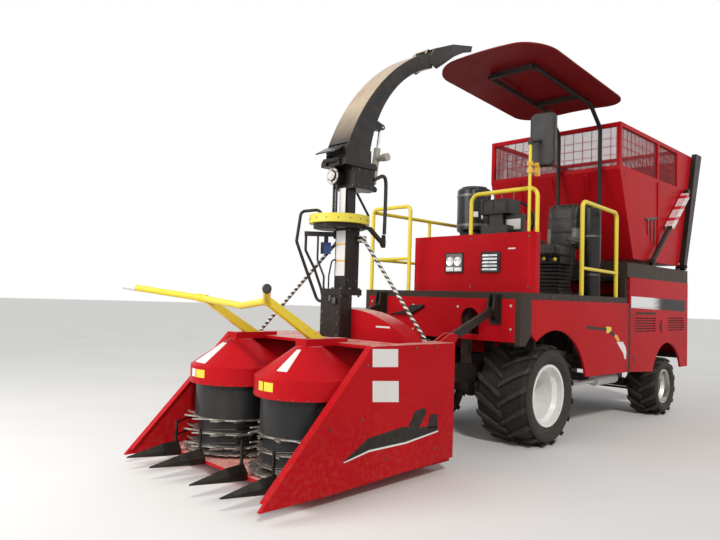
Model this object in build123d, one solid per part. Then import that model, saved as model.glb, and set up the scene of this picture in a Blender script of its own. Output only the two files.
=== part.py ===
from build123d import *
import math
import os

# Self-propelled forage harvester with a two-drum maize header, an open operator's platform,
# a slewing spout and a rear-tipping hopper.
# Millimetres. X points forward, Y to the machine's left, Z up, z = 0 is the ground.
# Every size below is counted from the front axle's centre line. The finished pieces are moved
# forward by front_axle_x, so that the origin lies under the middle of the machine.
front_axle_x = 388

# Wheels
front_tyre_radius = 499
front_tyre_width = 580
front_tyre_inner_y = 380
front_rim_radius = 308
front_lugs = 16
rear_axle_x = -2980
rear_tyre_radius = 375
rear_tyre_width = 380
rear_tyre_inner_y = 600
rear_rim_radius = 222
rear_lugs = 14
lug_height = 26
rim_wall = 9
kingpin_y = 520
kingpin_radius = 20
tie_rod_back = 180

# Chassis
rail_y = 330
rail_width = 80
rail_bottom = 620
rail_top = 800
rail_front = 800
body_half_width = 995
body_front = 660
body_split_x = -1764
body_rear = -3734
panel_wall = 25
panel_gap = 8
deck_top = 1507
beam_height = 65
bulkhead_top = 2095
lamp_ys = (56, 503)
front_panel_bottom = 650
split_panel_bottom = 636
rear_panel_bottom = 602
front_arch_radius = 690
front_arch_z = 460
rear_arch_radius = 520
rear_arch_z = 428
post_size = 70
corner_post_back = 467
bulkhead_ys = (-500, body_half_width - 25)

# Handrails
rail_radius = 23
left_rail_y = body_half_width - 30
right_rail_y = 35 - body_half_width
left_rail_top = deck_top + 1008
right_rail_top = deck_top + 913
rail_middle = deck_top + 343
loop_ys = (175, bulkhead_ys[1] - 25)
loop_top = bulkhead_top + 430
pole_x = 390
pole_y = bulkhead_ys[1] - 65
pole_top = bulkhead_top + 845

# Canopy
canopy_front_x = 470
canopy_rear_x = -1580
canopy_rear_z = 3780
canopy_slope = 4.18
canopy_ys = (-310, 1050)
canopy_post_ys = (140, 680)
canopy_crown = 50
canopy_wall = 14
canopy_drop = 12
canopy_tube = 24

# Hopper
hopper_beam_bottom = 1752
hopper_beam_top = 1925
tip_pivot_x = -3715
tip_pivot_z = 1985
hopper_inset = 91
hopper_half_width = body_half_width - hopper_inset
hopper_wall = 18
hopper_floor_z = 1992
hopper_sill_z = 3050
hopper_top_z = 3618
hopper_front_bottom_x = -2078
hopper_front_x = -1660
hopper_rear_x = -3595
screen_bar = 48
mast_lean_x = -530
mast_top_z = 3660
mast_depth = 220
mast_thickness = 66
gate_hinge_x = -4192
gate_hinge_z = 3560

# Header linkage: two equal, parallel links on each side
lower_link_y = 250
upper_link_y = 730
link_pin_radius = 22
lower_pivot = (750, 700)
link_reach = 630
link_drop = -240
upper_pivot = (720, 1330)
lift_base = (660, 360)
lift_eye = (1120, 500)
lift_cylinder_y = 160

# Header
header_half_width = 930
side_panel_wall = 30
header_rear_x = 1555
header_top_z = 1064
header_bottom_z = 135
header_nose_x = 3477
header_nose_z = 85
header_top_front_x = 2531
inner_wall_x = 2200
floor_z = 100
floor_wall = 24
drum_x = 2715
drum_y = 450
drum_radius = 350
drum_tip_radius = 436
drum_top_z = 700
drum_bottom_z = 150
ring_levels = (410, 300, 195)
ring_wall = 10
hooks_per_ring = 14
saw_teeth = 36
hood_radius = 402
hood_wall = 12
hood_brim_bottom = 685
hood_brim_top = 825
hood_top_z = 1040
hood_neck_radius = 100
snout_rear_x = 3150.3
guide_levels = (248, 352)

# Spout
column_x = 1930
column_depth = 160
column_width = 140
column_wall = 10
column_bottom = 1484
ring_plate_z = 2015
ring_plate_wall = 40
arm_root = (2004, -79)
slew_ring_radius = 270
ring_x = column_x + 55
ring_y = -54
ring_top = ring_plate_z + ring_plate_wall + 75
post_radius = 62
turret_top_z = 2590
spout_half_width = 130
spout_wall = 10
outer_arc = (217, 2030, 1996)
inner_arc = (581, 2534, 1240)
spout_hinge = (2150, 2604)
flap_hinge = (972, 3902)
spout_eye_low = (1637, 2411)
spout_eye_high = (1554, 3009)

# Running clearance at pins, and the gap between faces that only touch
pin_gap = 0.05
seat_gap = 0.3
side_gap = 1.0

here = "parts"
os.makedirs("parts", exist_ok=True)


def block(x, y, z):
    """A box between a low and a high limit on each axis."""
    limits = (x, y, z)
    size = [high - low for low, high in limits]
    middle = [(low + high) / 2 for low, high in limits]
    return Pos(*middle) * Box(*size)


def side_slab(points, y_low, y_high):
    """An outline in X and Z, as thick as the stretch from y_low to y_high."""
    outline = Plane.XZ * make_face(Polyline(*points, close=True))
    return Pos(0, y_low, 0) * extrude(outline, amount=y_high - y_low, dir=(0, 1, 0))


def cross_slab(points, x_low, x_high):
    """An outline in Y and Z, as thick as the stretch from x_low to x_high."""
    outline = Plane.YZ * make_face(Polyline(*points, close=True))
    return Pos(x_low, 0, 0) * extrude(outline, amount=x_high - x_low, dir=(1, 0, 0))


def flat_slab(points, z_low, z_high):
    """An outline in X and Y, as thick as the stretch from z_low to z_high."""
    outline = make_face(Polyline(*points, close=True))
    return Pos(0, 0, z_low) * extrude(outline, amount=z_high - z_low, dir=(0, 0, 1))


def rod(start, end, radius):
    """A round bar between two points."""
    axis = Vector(*end) - Vector(*start)
    place = Plane(origin=start, z_dir=axis)
    return place * Cylinder(radius, axis.length, align=(Align.CENTER, Align.CENTER, Align.MIN))


def cross_pin(x, z, radius, y_low, y_high):
    """A round bar along Y."""
    return rod((x, y_low, z), (x, y_high, z), radius)


def upright(x, y, radius, z_low, z_high):
    """A round bar along Z."""
    return rod((x, y, z_low), (x, y, z_high), radius)


def bent_tube(points, bend, radius):
    """A round tube along straight runs joined by arcs."""
    path = FilletPolyline(*points, radius=bend)
    section = Plane(origin=path @ 0, z_dir=path % 0) * Circle(radius)
    return sweep(section, path=path)


def link_bar(start, end, half_height, y_low, y_high, eye_radius, bore_radius):
    """A flat bar in X and Z with a round eye at each end."""
    (x0, z0), (x1, z1) = start, end
    length = math.hypot(x1 - x0, z1 - z0)
    nx = -(z1 - z0) / length * half_height
    nz = (x1 - x0) / length * half_height
    outline = [(x0 + nx, z0 + nz), (x1 + nx, z1 + nz), (x1 - nx, z1 - nz), (x0 - nx, z0 - nz)]
    bar = side_slab(outline, y_low, y_high)
    for x, z in (start, end):
        bar += cross_pin(x, z, eye_radius, y_low, y_high)
    for x, z in (start, end):
        bar -= cross_pin(x, z, bore_radius, y_low - 1, y_high + 1)
    return bar


def mirrored(shape):
    """The same piece on the machine's right side."""
    return mirror(shape, about=Plane.XZ)


def pair(shape):
    """Left and right pieces that don't touch, kept in one node."""
    return [shape, mirrored(shape)]


nodes = {}


def keep(name, *shapes):
    """Stores the solids of one node, moved to their place in the machine's frame."""
    solids = []
    for shape in shapes:
        for solid in shape.solids():
            solids.append(Pos(front_axle_x, 0, 0) * solid)
    nodes[name] = solids[0] if len(solids) == 1 else Compound(children=solids)


# Wheels. They are made about the origin with their axle along Y and their outer face towards +Y.
def tyre(radius, rim_radius, width, lugs):
    carcass = radius - lug_height
    half = width / 2
    bead = half - 40
    bore = rim_radius - 18
    shoulder = half - 14
    wall_middle = (bore + carcass) / 2
    toe = rim_radius + 4
    corner = carcass - 22
    right = Line((bore, bead), (toe, bead))
    right += ThreePointArc((toe, bead), (wall_middle, half), (corner, shoulder))
    left = ThreePointArc((corner, -shoulder), (wall_middle, -half), (toe, -bead))
    left += Line((toe, -bead), (bore, -bead))
    tread = Polyline((corner, shoulder), (carcass, half - 52), (carcass, 52 - half), (corner, -shoulder))
    section = make_face(right + tread + left + Line((bore, -bead), (bore, bead)))
    body = revolve(section, axis=Axis.Y)
    band_section = make_face(Polyline(
        (carcass - 34, half - 8), (radius - 16, half - 8), (radius, half - 44), (radius, 44 - half),
        (radius - 16, 8 - half), (carcass - 34, 8 - half), close=True))
    band = revolve(band_section, axis=Axis.Y)
    # Lug outline: across the tread (y) and round it (z); the outer ends lie higher at the front
    sweep_round = 0.62 * half
    outline = [(-14, -20), (0.45 * half, 0.34 * half - 20), (half, sweep_round - 16),
               (half, sweep_round + 40), (0.45 * half, 0.34 * half + 24), (-14, 22)]
    bar = cross_slab(outline, carcass - 34, radius + 30)
    bar = Rot(0, math.degrees(0.5 * sweep_round / radius), 0) * bar
    right_lug = (bar & band).solids()[0]
    left_lug = mirrored(right_lug)
    pitch = 360 / lugs
    pieces = [Rot(0, pitch * i, 0) * right_lug for i in range(lugs)]
    pieces += [Rot(0, pitch * (i + 0.5), 0) * left_lug for i in range(lugs)]
    return body.fuse(*pieces)


def rim(rim_radius, width, disc_y, dish, flat_radius, axle_radius, bolt_circle, bolt_holes):
    half = width / 2
    bead = half - 40
    seat = rim_radius - 18 - seat_gap
    well = seat - 34
    lip = bead + 12
    profile = [
        (rim_radius, bead + seat_gap), (rim_radius, lip), (seat - rim_wall, lip),
        (seat - rim_wall, bead - 46), (well - rim_wall, bead - 86), (well - rim_wall, 86 - bead),
        (seat - rim_wall, 46 - bead), (seat - rim_wall, -lip), (rim_radius, -lip),
        (rim_radius, -bead - seat_gap),
        (seat, -bead - seat_gap), (seat, 40 - bead), (well, 80 - bead), (well, bead - 80), (seat, bead - 40),
        (seat, bead + seat_gap)]
    barrel = revolve(make_face(Polyline(*profile, close=True)), axis=Axis.Y)
    disc_profile = [
        (axle_radius + pin_gap, disc_y - 8), (flat_radius, disc_y - 8), (well - 30, disc_y - dish),
        (well - 2, disc_y - dish), (well - 2, disc_y - dish + 12), (well - 34, disc_y - dish + 12),
        (flat_radius + 4, disc_y + 6), (axle_radius + 22, disc_y + 6), (axle_radius + 22, disc_y + 42),
        (axle_radius + pin_gap, disc_y + 42)]
    disc = revolve(make_face(Polyline(*disc_profile, close=True)), axis=Axis.Y)
    cap = rod((0, disc_y + 42, 0), (0, disc_y + 52, 0), axle_radius + 22)
    wheel = barrel + disc + cap
    for i in range(bolt_holes):
        turn = Rot(0, 360 / bolt_holes * i, 0)
        wheel -= turn * Pos(bolt_circle, 0, 0) * rod((0, disc_y - 60, 0), (0, disc_y + 60, 0), 11)
    return wheel


def place_wheels():
    front_y = front_tyre_inner_y + front_tyre_width / 2
    rear_y = rear_tyre_inner_y + rear_tyre_width / 2
    front_tyre = Pos(0, front_y, front_tyre_radius) * tyre(
        front_tyre_radius, front_rim_radius, front_tyre_width, front_lugs)
    front_rim = Pos(0, front_y, front_tyre_radius) * rim(
        front_rim_radius, front_tyre_width, -70, 26, 210, 60, 165, 8)
    rear_tyre = Pos(rear_axle_x, rear_y, rear_tyre_radius) * tyre(
        rear_tyre_radius, rear_rim_radius, rear_tyre_width, rear_lugs)
    rear_rim = Pos(rear_axle_x, rear_y, rear_tyre_radius) * rim(
        rear_rim_radius, rear_tyre_width, -50, -10, 130, 35, 95, 6)
    for name, shape in (("front_tyre", front_tyre), ("front_rim", front_rim),
                        ("rear_tyre", rear_tyre), ("rear_rim", rear_rim)):
        keep(name + "_left", shape)
        keep(name + "_right", mirrored(shape))


def front_axle():
    """Drive axle: a tube with a gear housing in its middle and a hub at each end."""
    z = front_tyre_radius
    hub_y = front_tyre_inner_y + front_tyre_width / 2 - 70
    axle = rod((0, -370, z), (0, 370, z), 75)
    axle += Pos(0, 0, z) * Sphere(118)
    axle += rod((118, 0, z), (-190, 0, z), 60)
    for side in (-1, 1):
        axle += rod((0, side * 330, z), (0, side * (hub_y - 10), z), 118)
        axle += rod((0, side * (hub_y - 12), z), (0, side * (hub_y + 40), z), 60)
        low, high = sorted((side * (rail_y - 36), side * (rail_y + 30)))
        axle += block((-80, 80), (low, high), (z + 40, rail_bottom))
    return axle


def rear_axle():
    """Steering axle beam, hung from the rails, with a boss for each kingpin."""
    z = rear_tyre_radius
    axle = block((rear_axle_x - 50, rear_axle_x + 50), (-470, 470), (z - 55, z + 55))
    for side in (-1, 1):
        axle += upright(rear_axle_x, side * kingpin_y, 52, z - 60, z + 60)
        low, high = sorted((side * (rail_y - 36), side * (rail_y + 36)))
        axle += block((rear_axle_x - 90, rear_axle_x + 90), (low, high), (z + 50, rail_bottom))
    for side in (-1, 1):
        axle -= upright(rear_axle_x, side * kingpin_y, kingpin_radius + pin_gap, z - 70, z + 70)
    return axle


def knuckle():
    """Left steering knuckle: fork, kingpin, wheel spindle and steering arm."""
    z = rear_tyre_radius
    disc_y = rear_tyre_inner_y + rear_tyre_width / 2 - 50
    fork_top = block((rear_axle_x - 42, rear_axle_x + 42), (kingpin_y - 46, kingpin_y + 92), (z + 61, z + 84))
    fork_low = block((rear_axle_x - 42, rear_axle_x + 42), (kingpin_y - 46, kingpin_y + 92), (z - 84, z - 61))
    web = block((rear_axle_x - 42, rear_axle_x + 42), (kingpin_y + 62, kingpin_y + 92), (z - 84, z + 84))
    pin = upright(rear_axle_x, kingpin_y, kingpin_radius, z - 96, z + 96)
    hub = rod((rear_axle_x, kingpin_y + 80, z), (rear_axle_x, disc_y - 12, z), 62)
    spindle = rod((rear_axle_x, kingpin_y + 80, z), (rear_axle_x, disc_y + 40, z), 35)
    arm = block((rear_axle_x - tie_rod_back - 24, rear_axle_x - 30), (kingpin_y - 30, kingpin_y + 20),
                (z - 84, z - 66))
    return fork_top + fork_low + web + pin + hub + spindle + arm


def tie_rod():
    """Track rod under the steering arms' ends."""
    x = rear_axle_x - tie_rod_back
    z = rear_tyre_radius - 84 - seat_gap
    y = kingpin_y - 5
    bar = rod((x, -y + 30, z - 18), (x, y - 30, z - 18), 15)
    for side in (-1, 1):
        bar += upright(x, side * y, 24, z - 36, z)
        bar += rod((x, side * (y - 80), z - 18), (x, side * (y - 10), z - 18), 17)
    return bar


# Chassis and body
def body_posts():
    """Left bars out from the rails, the posts on their ends, and the uprights under the deck."""
    low, high = rail_y - rail_width / 2, rail_y + rail_width / 2
    skin = body_half_width - panel_wall
    half = post_size / 2
    bar_z = (rail_top - 90, rail_top - 20)
    bars = [block((x - half, x + half), (high, skin), bar_z) for x in (-860, -1725, -3660)]
    posts = [block((x - half, x + half), (skin - post_size, skin), (rail_top - 20, hopper_beam_bottom))
             for x in (-1725, -3660)]
    uprights = [block((x - half, x + half), (low, high), (rail_top, deck_top - beam_height))
                for x in (560, -860, -1650)]
    return bars + posts + uprights


def chassis_frame():
    """Two rails with cross members, link pins and the lugs of the lift cylinders."""
    low, high = rail_y - rail_width / 2, rail_y + rail_width / 2
    side = block((body_rear + 34, rail_front), (low, high), (rail_bottom, rail_top))
    pin_x, pin_z = lower_pivot
    side += cross_pin(pin_x, pin_z, link_pin_radius, lower_link_y - 26, low + 1)
    frame = side + mirrored(side)
    for x in (640, -420, -1500, -2350, -3650):
        frame += block((x - 40, x + 40), (-low, low), (rail_bottom, rail_bottom + 80))
    base_x, base_z = lift_base
    for side_sign in (-1, 1):
        for offset in (-52, 52):
            y = side_sign * lift_cylinder_y + offset
            frame += block((base_x - 40, base_x + 20), (y - 12, y + 12), (base_z, rail_bottom + 10))
            frame += cross_pin(base_x, base_z, 40, y - 12, y + 12)
        y = side_sign * lift_cylinder_y
        frame += cross_pin(base_x, base_z, 15, y - 60, y + 60)
    return frame


def link_bracket():
    """Clevis on the front plate for the left upper link."""
    x, z = upper_pivot
    ears = block((body_front, body_front + 12), (upper_link_y - 62, upper_link_y + 62),
                 (z - 130, deck_top - 20))
    for offset in (-31, 31):
        y = upper_link_y + offset
        ears += side_slab([(body_front, z - 120), (x + 10, z - 45), (x + 45, z), (x + 20, z + 150),
                           (body_front, z + 150)],
                          y - 10, y + 10)
    ears += cross_pin(x, z, 18, upper_link_y - 45, upper_link_y + 45)
    return ears


def platform():
    """Deck, as deep as its beams, with the two corner posts under its front."""
    rear = -1690
    plate = block((rear, body_front), (-body_half_width, body_half_width), (deck_top - beam_height, deck_top))
    post = side_slab([(corner_post_back, deck_top - 5), (corner_post_back, 1110),
                      (corner_post_back + 100, 1010),
                      (body_front, 1010), (body_front, deck_top - 5)], body_half_width - 60, body_half_width)
    return plate + post + mirrored(post)


def front_panel():
    """Lower front plate with its upright rounded hole."""
    low_z = 1040
    plate = block((body_front - 22, body_front), (-body_half_width + 60, body_half_width - 60),
                  (low_z, deck_top - beam_height))
    hole = block((body_front - 40, body_front + 20), (320, 540), (1090, 1240))
    hole += rod((body_front - 40, 430, 1240), (body_front + 20, 430, 1240), 110)
    return plate - hole


def bulkhead():
    """Low box across the platform's front, open to the rear, which carries the lamps."""
    low, high = bulkhead_ys
    shell = block((285, 420), bulkhead_ys, (deck_top, bulkhead_top))
    uprights = shell.edges().filter_by(Axis.Z)
    near_corner = [edge for edge in uprights if edge.center().X > 400 and edge.center().Y > 0]
    shell = fillet(near_corner, 55)
    others = [edge for edge in shell.edges().filter_by(Axis.Z) if edge.center().Y < 0]
    shell = fillet(others, 18)
    shell -= block((280, 395), (low + panel_wall, high - panel_wall),
                   (deck_top - 5, bulkhead_top - panel_wall))
    for y in lamp_ys:
        shell -= block((400, 430), (y - 112, y + 112), (1708, 1908))
    return shell


def head_lamps():
    lamps = []
    for y in lamp_ys:
        lamp = block((400 + seat_gap, 430), (y - 111, y + 111), (1709, 1907))
        lamp = fillet(lamp.edges().filter_by(Axis.X), 24)
        lamps.append(lamp)
    return lamps


def arch_cut(x, z, radius):
    return cross_pin(x, z, radius, body_half_width - panel_wall - 10, body_half_width + 10)


def front_side_panel():
    outline = [(corner_post_back - 2, 1120), (corner_post_back - 2, deck_top - beam_height),
               (body_split_x + panel_gap / 2, deck_top - beam_height),
               (body_split_x + panel_gap / 2, split_panel_bottom),
               (-500, front_panel_bottom), (-200, front_panel_bottom)]
    panel = side_slab(outline, body_half_width - panel_wall, body_half_width)
    return panel - arch_cut(0, front_arch_z, front_arch_radius)


def vent(x_low, x_high, z_low, z_high, slots):
    """Level slots cut through a side panel."""
    cuts = []
    pitch = (z_high - z_low) / slots
    for i in range(slots):
        z = z_low + pitch * i
        cuts.append(block((x_low, x_high), (body_half_width - panel_wall - 5, body_half_width + 5),
                          (z, z + 0.45 * pitch)))
    return cuts


def rear_side_panel():
    outline = [(body_split_x - panel_gap / 2, split_panel_bottom),
               (body_split_x - panel_gap / 2, hopper_beam_bottom),
               (body_rear, hopper_beam_bottom), (body_rear, rear_panel_bottom), (-2400, rear_panel_bottom)]
    panel = side_slab(outline, body_half_width - panel_wall, body_half_width)
    panel -= arch_cut(rear_axle_x, rear_arch_z, rear_arch_radius)
    for cut in vent(-2580, -1920, 1100, 1290, 6) + vent(-3580, -3000, 1100, 1290, 6):
        panel -= cut
    panel -= block((-2790, -2710), (body_half_width - 10, body_half_width + 5), (1080, 1240))
    return panel


def rear_panel():
    inner = body_half_width - panel_wall - 1
    panel = block((body_rear, body_rear + panel_wall), (-inner, inner),
                  (rear_panel_bottom + 120, hopper_beam_bottom))
    for i in range(8):
        z = 1000 + 44 * i
        panel -= block((body_rear - 5, body_rear + panel_wall + 5), (-420, 420), (z, z + 20))
    return panel


def engine():
    """Plain block at the engine's place, on the rails under the hopper."""
    return block((-3000, -1980), (-340, 340), (rail_top, 1560))


def muffler():
    can = rod((-2200, 620, 500), (-1630, 620, 500), 62)
    pipe = bent_tube([(-1700, 620, 500), (-1150, 620, 500), (-1150, 402, 640), (-1150, 402, 780)], 60, 26)
    hanger = block((-1765, -1735), (606, 634), (540, rail_top - 90))
    return can + pipe + hanger


# Hopper and its support
def hopper_support():
    """Black beam frame on the body, with the tipping hinge ears at its rear corners."""
    front, rear = -1690, body_rear + 14
    outer, inner = body_half_width, body_half_width - 70
    side = block((rear, front), (inner, outer), (hopper_beam_bottom, hopper_beam_top))
    frame = side + mirrored(side)
    for x in (front - 35, -2700, rear + 40):
        frame += block((x - 35, x + 35), (-inner, inner), (hopper_beam_bottom, hopper_beam_top))
    for side_sign in (-1, 1):
        y = side_sign * (hopper_half_width - 35)
        frame += side_slab([(tip_pivot_x + 90, hopper_beam_top - 10), (tip_pivot_x + 40, tip_pivot_z + 34),
                            (tip_pivot_x - 40, tip_pivot_z + 34), (tip_pivot_x - 20, hopper_beam_top - 10)],
                            y - 14, y + 14)
        frame += cross_pin(tip_pivot_x, tip_pivot_z, 24, y - 14, y + 14)
        low, high = sorted((side_sign * (hopper_half_width - 30), side_sign * (body_half_width - 6)))
        frame += cross_pin(tip_pivot_x, tip_pivot_z, 20, low, high)
    # Lower eyes of the tipping cylinders
    for side_sign in (-1, 1):
        y = side_sign * (hopper_half_width + 15)
        frame += block((-2570, -2480), (y - 10, y + 10), (hopper_beam_top - 60, 1979))
        frame += cross_pin(-2524, 1979, 42, y - 10, y + 10)
        low, high = sorted((y, side_sign * (body_half_width - 1)))
        frame += cross_pin(-2524, 1979, 18, low, high)
    return frame


def mast_x(z):
    """Middle of the leaning rear post at a height."""
    return tip_pivot_x + mast_lean_x * (z - tip_pivot_z) / (mast_top_z - tip_pivot_z)


def hopper():
    """Tipping bin: floor, sloped front wall, side walls and the cylinders' upper lugs."""
    outer, inner = hopper_half_width, hopper_half_width - hopper_wall
    wall_rear_low = mast_x(hopper_floor_z) + mast_depth / 2 - 30
    wall_rear_sill = mast_x(hopper_sill_z) + mast_depth / 2 - 30
    wall_rear_top = mast_x(hopper_top_z) + mast_depth / 2 - 30
    wall = side_slab([(hopper_front_bottom_x, hopper_floor_z), (hopper_front_x, hopper_sill_z),
                      (hopper_rear_x, hopper_sill_z), (hopper_rear_x, hopper_top_z),
                      (wall_rear_top, hopper_top_z),
                      (wall_rear_sill, hopper_sill_z), (wall_rear_low, hopper_floor_z)], inner, outer)
    eye = cross_pin(-3786, 3050, 46, outer - 1, outer + 24)
    side = wall + eye
    bin_ = side + mirrored(side)
    floor = block((-3640, hopper_front_bottom_x), (-outer, outer),
                  (hopper_floor_z, hopper_floor_z + hopper_wall))
    run = hopper_front_x - hopper_front_bottom_x
    rise = hopper_sill_z - hopper_floor_z
    thick = hopper_wall * math.hypot(run, rise) / rise
    front = side_slab([(hopper_front_bottom_x, hopper_floor_z), (hopper_front_x, hopper_sill_z),
                       (hopper_front_x - thick, hopper_sill_z),
                       (hopper_front_bottom_x - thick, hopper_floor_z)], -outer, outer)
    return bin_ + floor + front


def hopper_post():
    """Left leaning rear post, which turns on the tipping hinge's pin."""
    low, high = hopper_half_width, hopper_half_width + mast_thickness
    half = mast_depth / 2
    post = side_slab([(mast_x(2010) + half * 0.6, 2010), (mast_x(mast_top_z) + half, mast_top_z),
                      (mast_x(mast_top_z) - half, mast_top_z), (mast_x(2010) - half * 0.45, 2010)], low, high)
    post += cross_pin(tip_pivot_x, tip_pivot_z, 52, low, high)
    post += cross_pin(gate_hinge_x, gate_hinge_z, 12, hopper_half_width - 46, hopper_half_width + 10)
    return post - cross_pin(tip_pivot_x, tip_pivot_z, 20 + pin_gap, low - 20, high + 20)


def hopper_screen():
    """Upper frame of square bars with lattice panels in its front, sides and rear."""
    low, high = hopper_sill_z + seat_gap, hopper_top_z
    outer = hopper_half_width
    inner = outer - screen_bar
    front, rear = hopper_front_x, hopper_rear_x + 1
    side = block((rear, front), (inner, outer), (low, low + screen_bar))
    side += block((rear, front), (inner, outer), (high - screen_bar, high))
    for x in (front - screen_bar, -2880, rear):
        side += block((x, x + screen_bar), (inner, outer), (low, high))
    frame = side + mirrored(side)
    for x in (front - screen_bar, rear):
        frame += block((x, x + screen_bar), (-outer, outer), (low, low + screen_bar))
        frame += block((x, x + screen_bar), (-outer, outer), (high - screen_bar, high))
    pitch = 120
    middle = (low + high) / 2
    count = int((front - rear) / pitch)
    for i in range(1, count):
        x = rear + pitch * i
        for side_sign in (-1, 1):
            y = side_sign * (outer - screen_bar / 2)
            frame += block((x - 3, x + 3), (y - 3, y + 3), (low + 20, high - 20))
    for i in range(1, int(2 * outer / pitch)):
        y = -outer + pitch * i
        x = front - screen_bar / 2
        frame += block((x - 3, x + 3), (y - 3, y + 3), (low + 20, high - 20))
    for z in (middle - 100, middle, middle + 100):
        for side_sign in (-1, 1):
            y = side_sign * (outer - screen_bar / 2)
            frame += block((rear + 10, front - 10), (y - 3, y + 3), (z - 3, z + 3))
        x = front - screen_bar / 2
        frame += block((x - 3, x + 3), (10 - outer, outer - 10), (z - 3, z + 3))
    return frame


def hopper_gate():
    """Rear gate with ribs, hung between the posts from the tube along its top."""
    inner = hopper_half_width - 6
    offset = 34
    low, high = 2040, gate_hinge_z
    front_low, front_high = mast_x(low) + offset, mast_x(high) + offset
    gate = side_slab([(front_low, low), (front_high, high), (front_high - 24, high), (front_low - 24, low)],
                     -inner, inner)
    for y in (-600, -200, 200, 600):
        gate += side_slab([(front_low - 20, low + 40), (front_high - 20, high - 60),
                           (front_high - 70, high - 60),
                           (front_low - 70, low + 40)], y - 20, y + 20)
    gate += cross_pin(gate_hinge_x, gate_hinge_z, 24, -inner, inner)
    for side_sign in (-1, 1):
        ends = sorted((side_sign * (inner - 50), side_sign * (inner + 1)))
        gate -= cross_pin(gate_hinge_x, gate_hinge_z, 12 + pin_gap, *ends)
    return gate


def tilt_direction():
    run, rise = -3786 + 2524, 3050 - 1979
    length = math.hypot(run, rise)
    return run / length, rise / length, length


def along_tilt(distance):
    ux, uz, _ = tilt_direction()
    return -2524 + ux * distance, 1979 + uz * distance


tilt_y = hopper_half_width + 59


def tilt_barrel():
    x0, z0 = along_tilt(0)
    eye = cross_pin(x0, z0, 40, tilt_y - 22, tilt_y + 22)
    xa, za = along_tilt(30)
    xb, zb = along_tilt(1010)
    body = eye + rod((xa, tilt_y, za), (xb, tilt_y, zb), 31)
    xc, zc = along_tilt(160)
    xd, zd = along_tilt(1020)
    body -= rod((xc, tilt_y, zc), (xd, tilt_y, zd), 20 + pin_gap)
    return body - cross_pin(x0, z0, 18 + pin_gap, tilt_y - 40, tilt_y + 40)


def tilt_rod():
    _, _, length = tilt_direction()
    xa, za = along_tilt(300)
    xb, zb = along_tilt(length)
    stem = rod((xa, tilt_y, za), (xb, tilt_y, zb), 20)
    return stem + cross_pin(xb, zb, 40, hopper_half_width + 24 + side_gap, tilt_y + 24)


# Operator's platform
def handrails():
    """Left rail, front loop, mirror pole and the rails round the right side."""
    y = left_rail_y
    left = bent_tube([(-590, y, deck_top), (-590, y, left_rail_top), (-1440, y, left_rail_top - 35),
                      (-1440, y, deck_top)], 70, rail_radius)
    left += rod((-590, y, rail_middle - 50), (-1440, y, rail_middle - 65), 18)
    low, high = loop_ys
    loop = bent_tube([(310, low, bulkhead_top), (310, low, loop_top), (310, high, loop_top + 10),
                      (310, high, bulkhead_top)], 90, rail_radius - 2)
    pole = upright(pole_x, pole_y, 15, bulkhead_top, pole_top)
    return [left, loop, pole]


def side_rails():
    """Rails across the right half of the deck's front and along its right side."""
    y, top = right_rail_y, right_rail_top
    inner_y = bulkhead_ys[0] + 95
    front = bent_tube([(615, inner_y, deck_top), (615, inner_y, top), (615, y, top), (615, y, deck_top)],
                      60, 21)
    front += rod((615, inner_y, rail_middle), (615, y, rail_middle), 17)
    side = bent_tube([(590, y, top - 30), (-1430, y, top - 30), (-1430, y, deck_top)], 70, 21)
    side += rod((-400, y, deck_top), (-400, y, top - 30), 20)
    side += rod((594, y, rail_middle), (-1430, y, rail_middle), 17)
    return [front, side]


def mirror_set():
    """Mirror on the pole's top, its glass facing the rear."""
    socket = upright(pole_x, pole_y, 24, pole_top, pole_top + 50)
    arm = rod((pole_x, pole_y, pole_top + 25), (pole_x - 140, pole_y + 33, pole_top + 60), 15)
    head = Box(72, 250, 534)
    head = fillet(head.edges().filter_by(Axis.X), 60)
    head = fillet(head.edges().sort_by(Axis.X)[-8:], 22)
    return socket + arm + Pos(pole_x - 175, pole_y + 37, pole_top + 77) * Rot(0, 0, 11) * head


def canopy_height(x):
    """Height of the roof's edge above the ground, at a distance along the machine."""
    return canopy_rear_z + (x - canopy_rear_x) * math.tan(math.radians(canopy_slope))


def canopy():
    """Thin roof sheet with wide round corners, a little arched, on short feet over its frame."""
    length = canopy_front_x - canopy_rear_x
    low, high = canopy_ys
    middle = (low + high) / 2
    crown, wall = canopy_crown, canopy_wall
    top = ThreePointArc((low, 0), (middle, crown), (high, 0))
    under = ThreePointArc((high, -wall), (middle, crown - wall), (low, -wall))
    edges = top + Line((high, 0), (high, -wall)) + under + Line((low, -wall), (low, 0))
    section = Plane.YZ * make_face(edges)
    sheet = Pos(canopy_rear_x, 0, 0) * extrude(section, amount=length, dir=(1, 0, 0))
    trim = Pos((canopy_front_x + canopy_rear_x) / 2, middle, 0) * extrude(
        RectangleRounded(length, high - low, 330), amount=120, both=True)
    sheet = sheet & trim
    sheet = Rot(0, -canopy_slope, 0) * Pos(-canopy_rear_x, 0, 0) * sheet
    sheet = Pos(canopy_rear_x, 0, canopy_rear_z) * sheet
    for x in (-1250, -640, -80):
        for y in canopy_post_ys:
            share = (y - middle) / (high - middle)
            under_z = canopy_height(x) + crown * (1 - share * share) - wall
            sheet += block((x - 20, x + 20), (y - 20, y + 20),
                           (canopy_height(x) - canopy_drop + canopy_tube + 1.7, under_z + 4))
    return sheet


def canopy_frame():
    """Two posts behind the seat, bent forward under the roof and tied by cross bars."""
    def roof_point(x, y):
        return (x, y, canopy_height(x) - canopy_drop)

    frame = None
    for y in canopy_post_ys:
        tube = bent_tube([(-1600, y, deck_top), (-1600, y, 3560), roof_point(-1330, y), roof_point(-30, y)],
                         150, canopy_tube)
        frame = tube if frame is None else frame + tube
    for x in (-30, -1030):
        z = canopy_height(x) - canopy_drop
        frame += block((x - 25, x + 25), canopy_post_ys, (z - 22, z + 22))
    return frame


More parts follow.
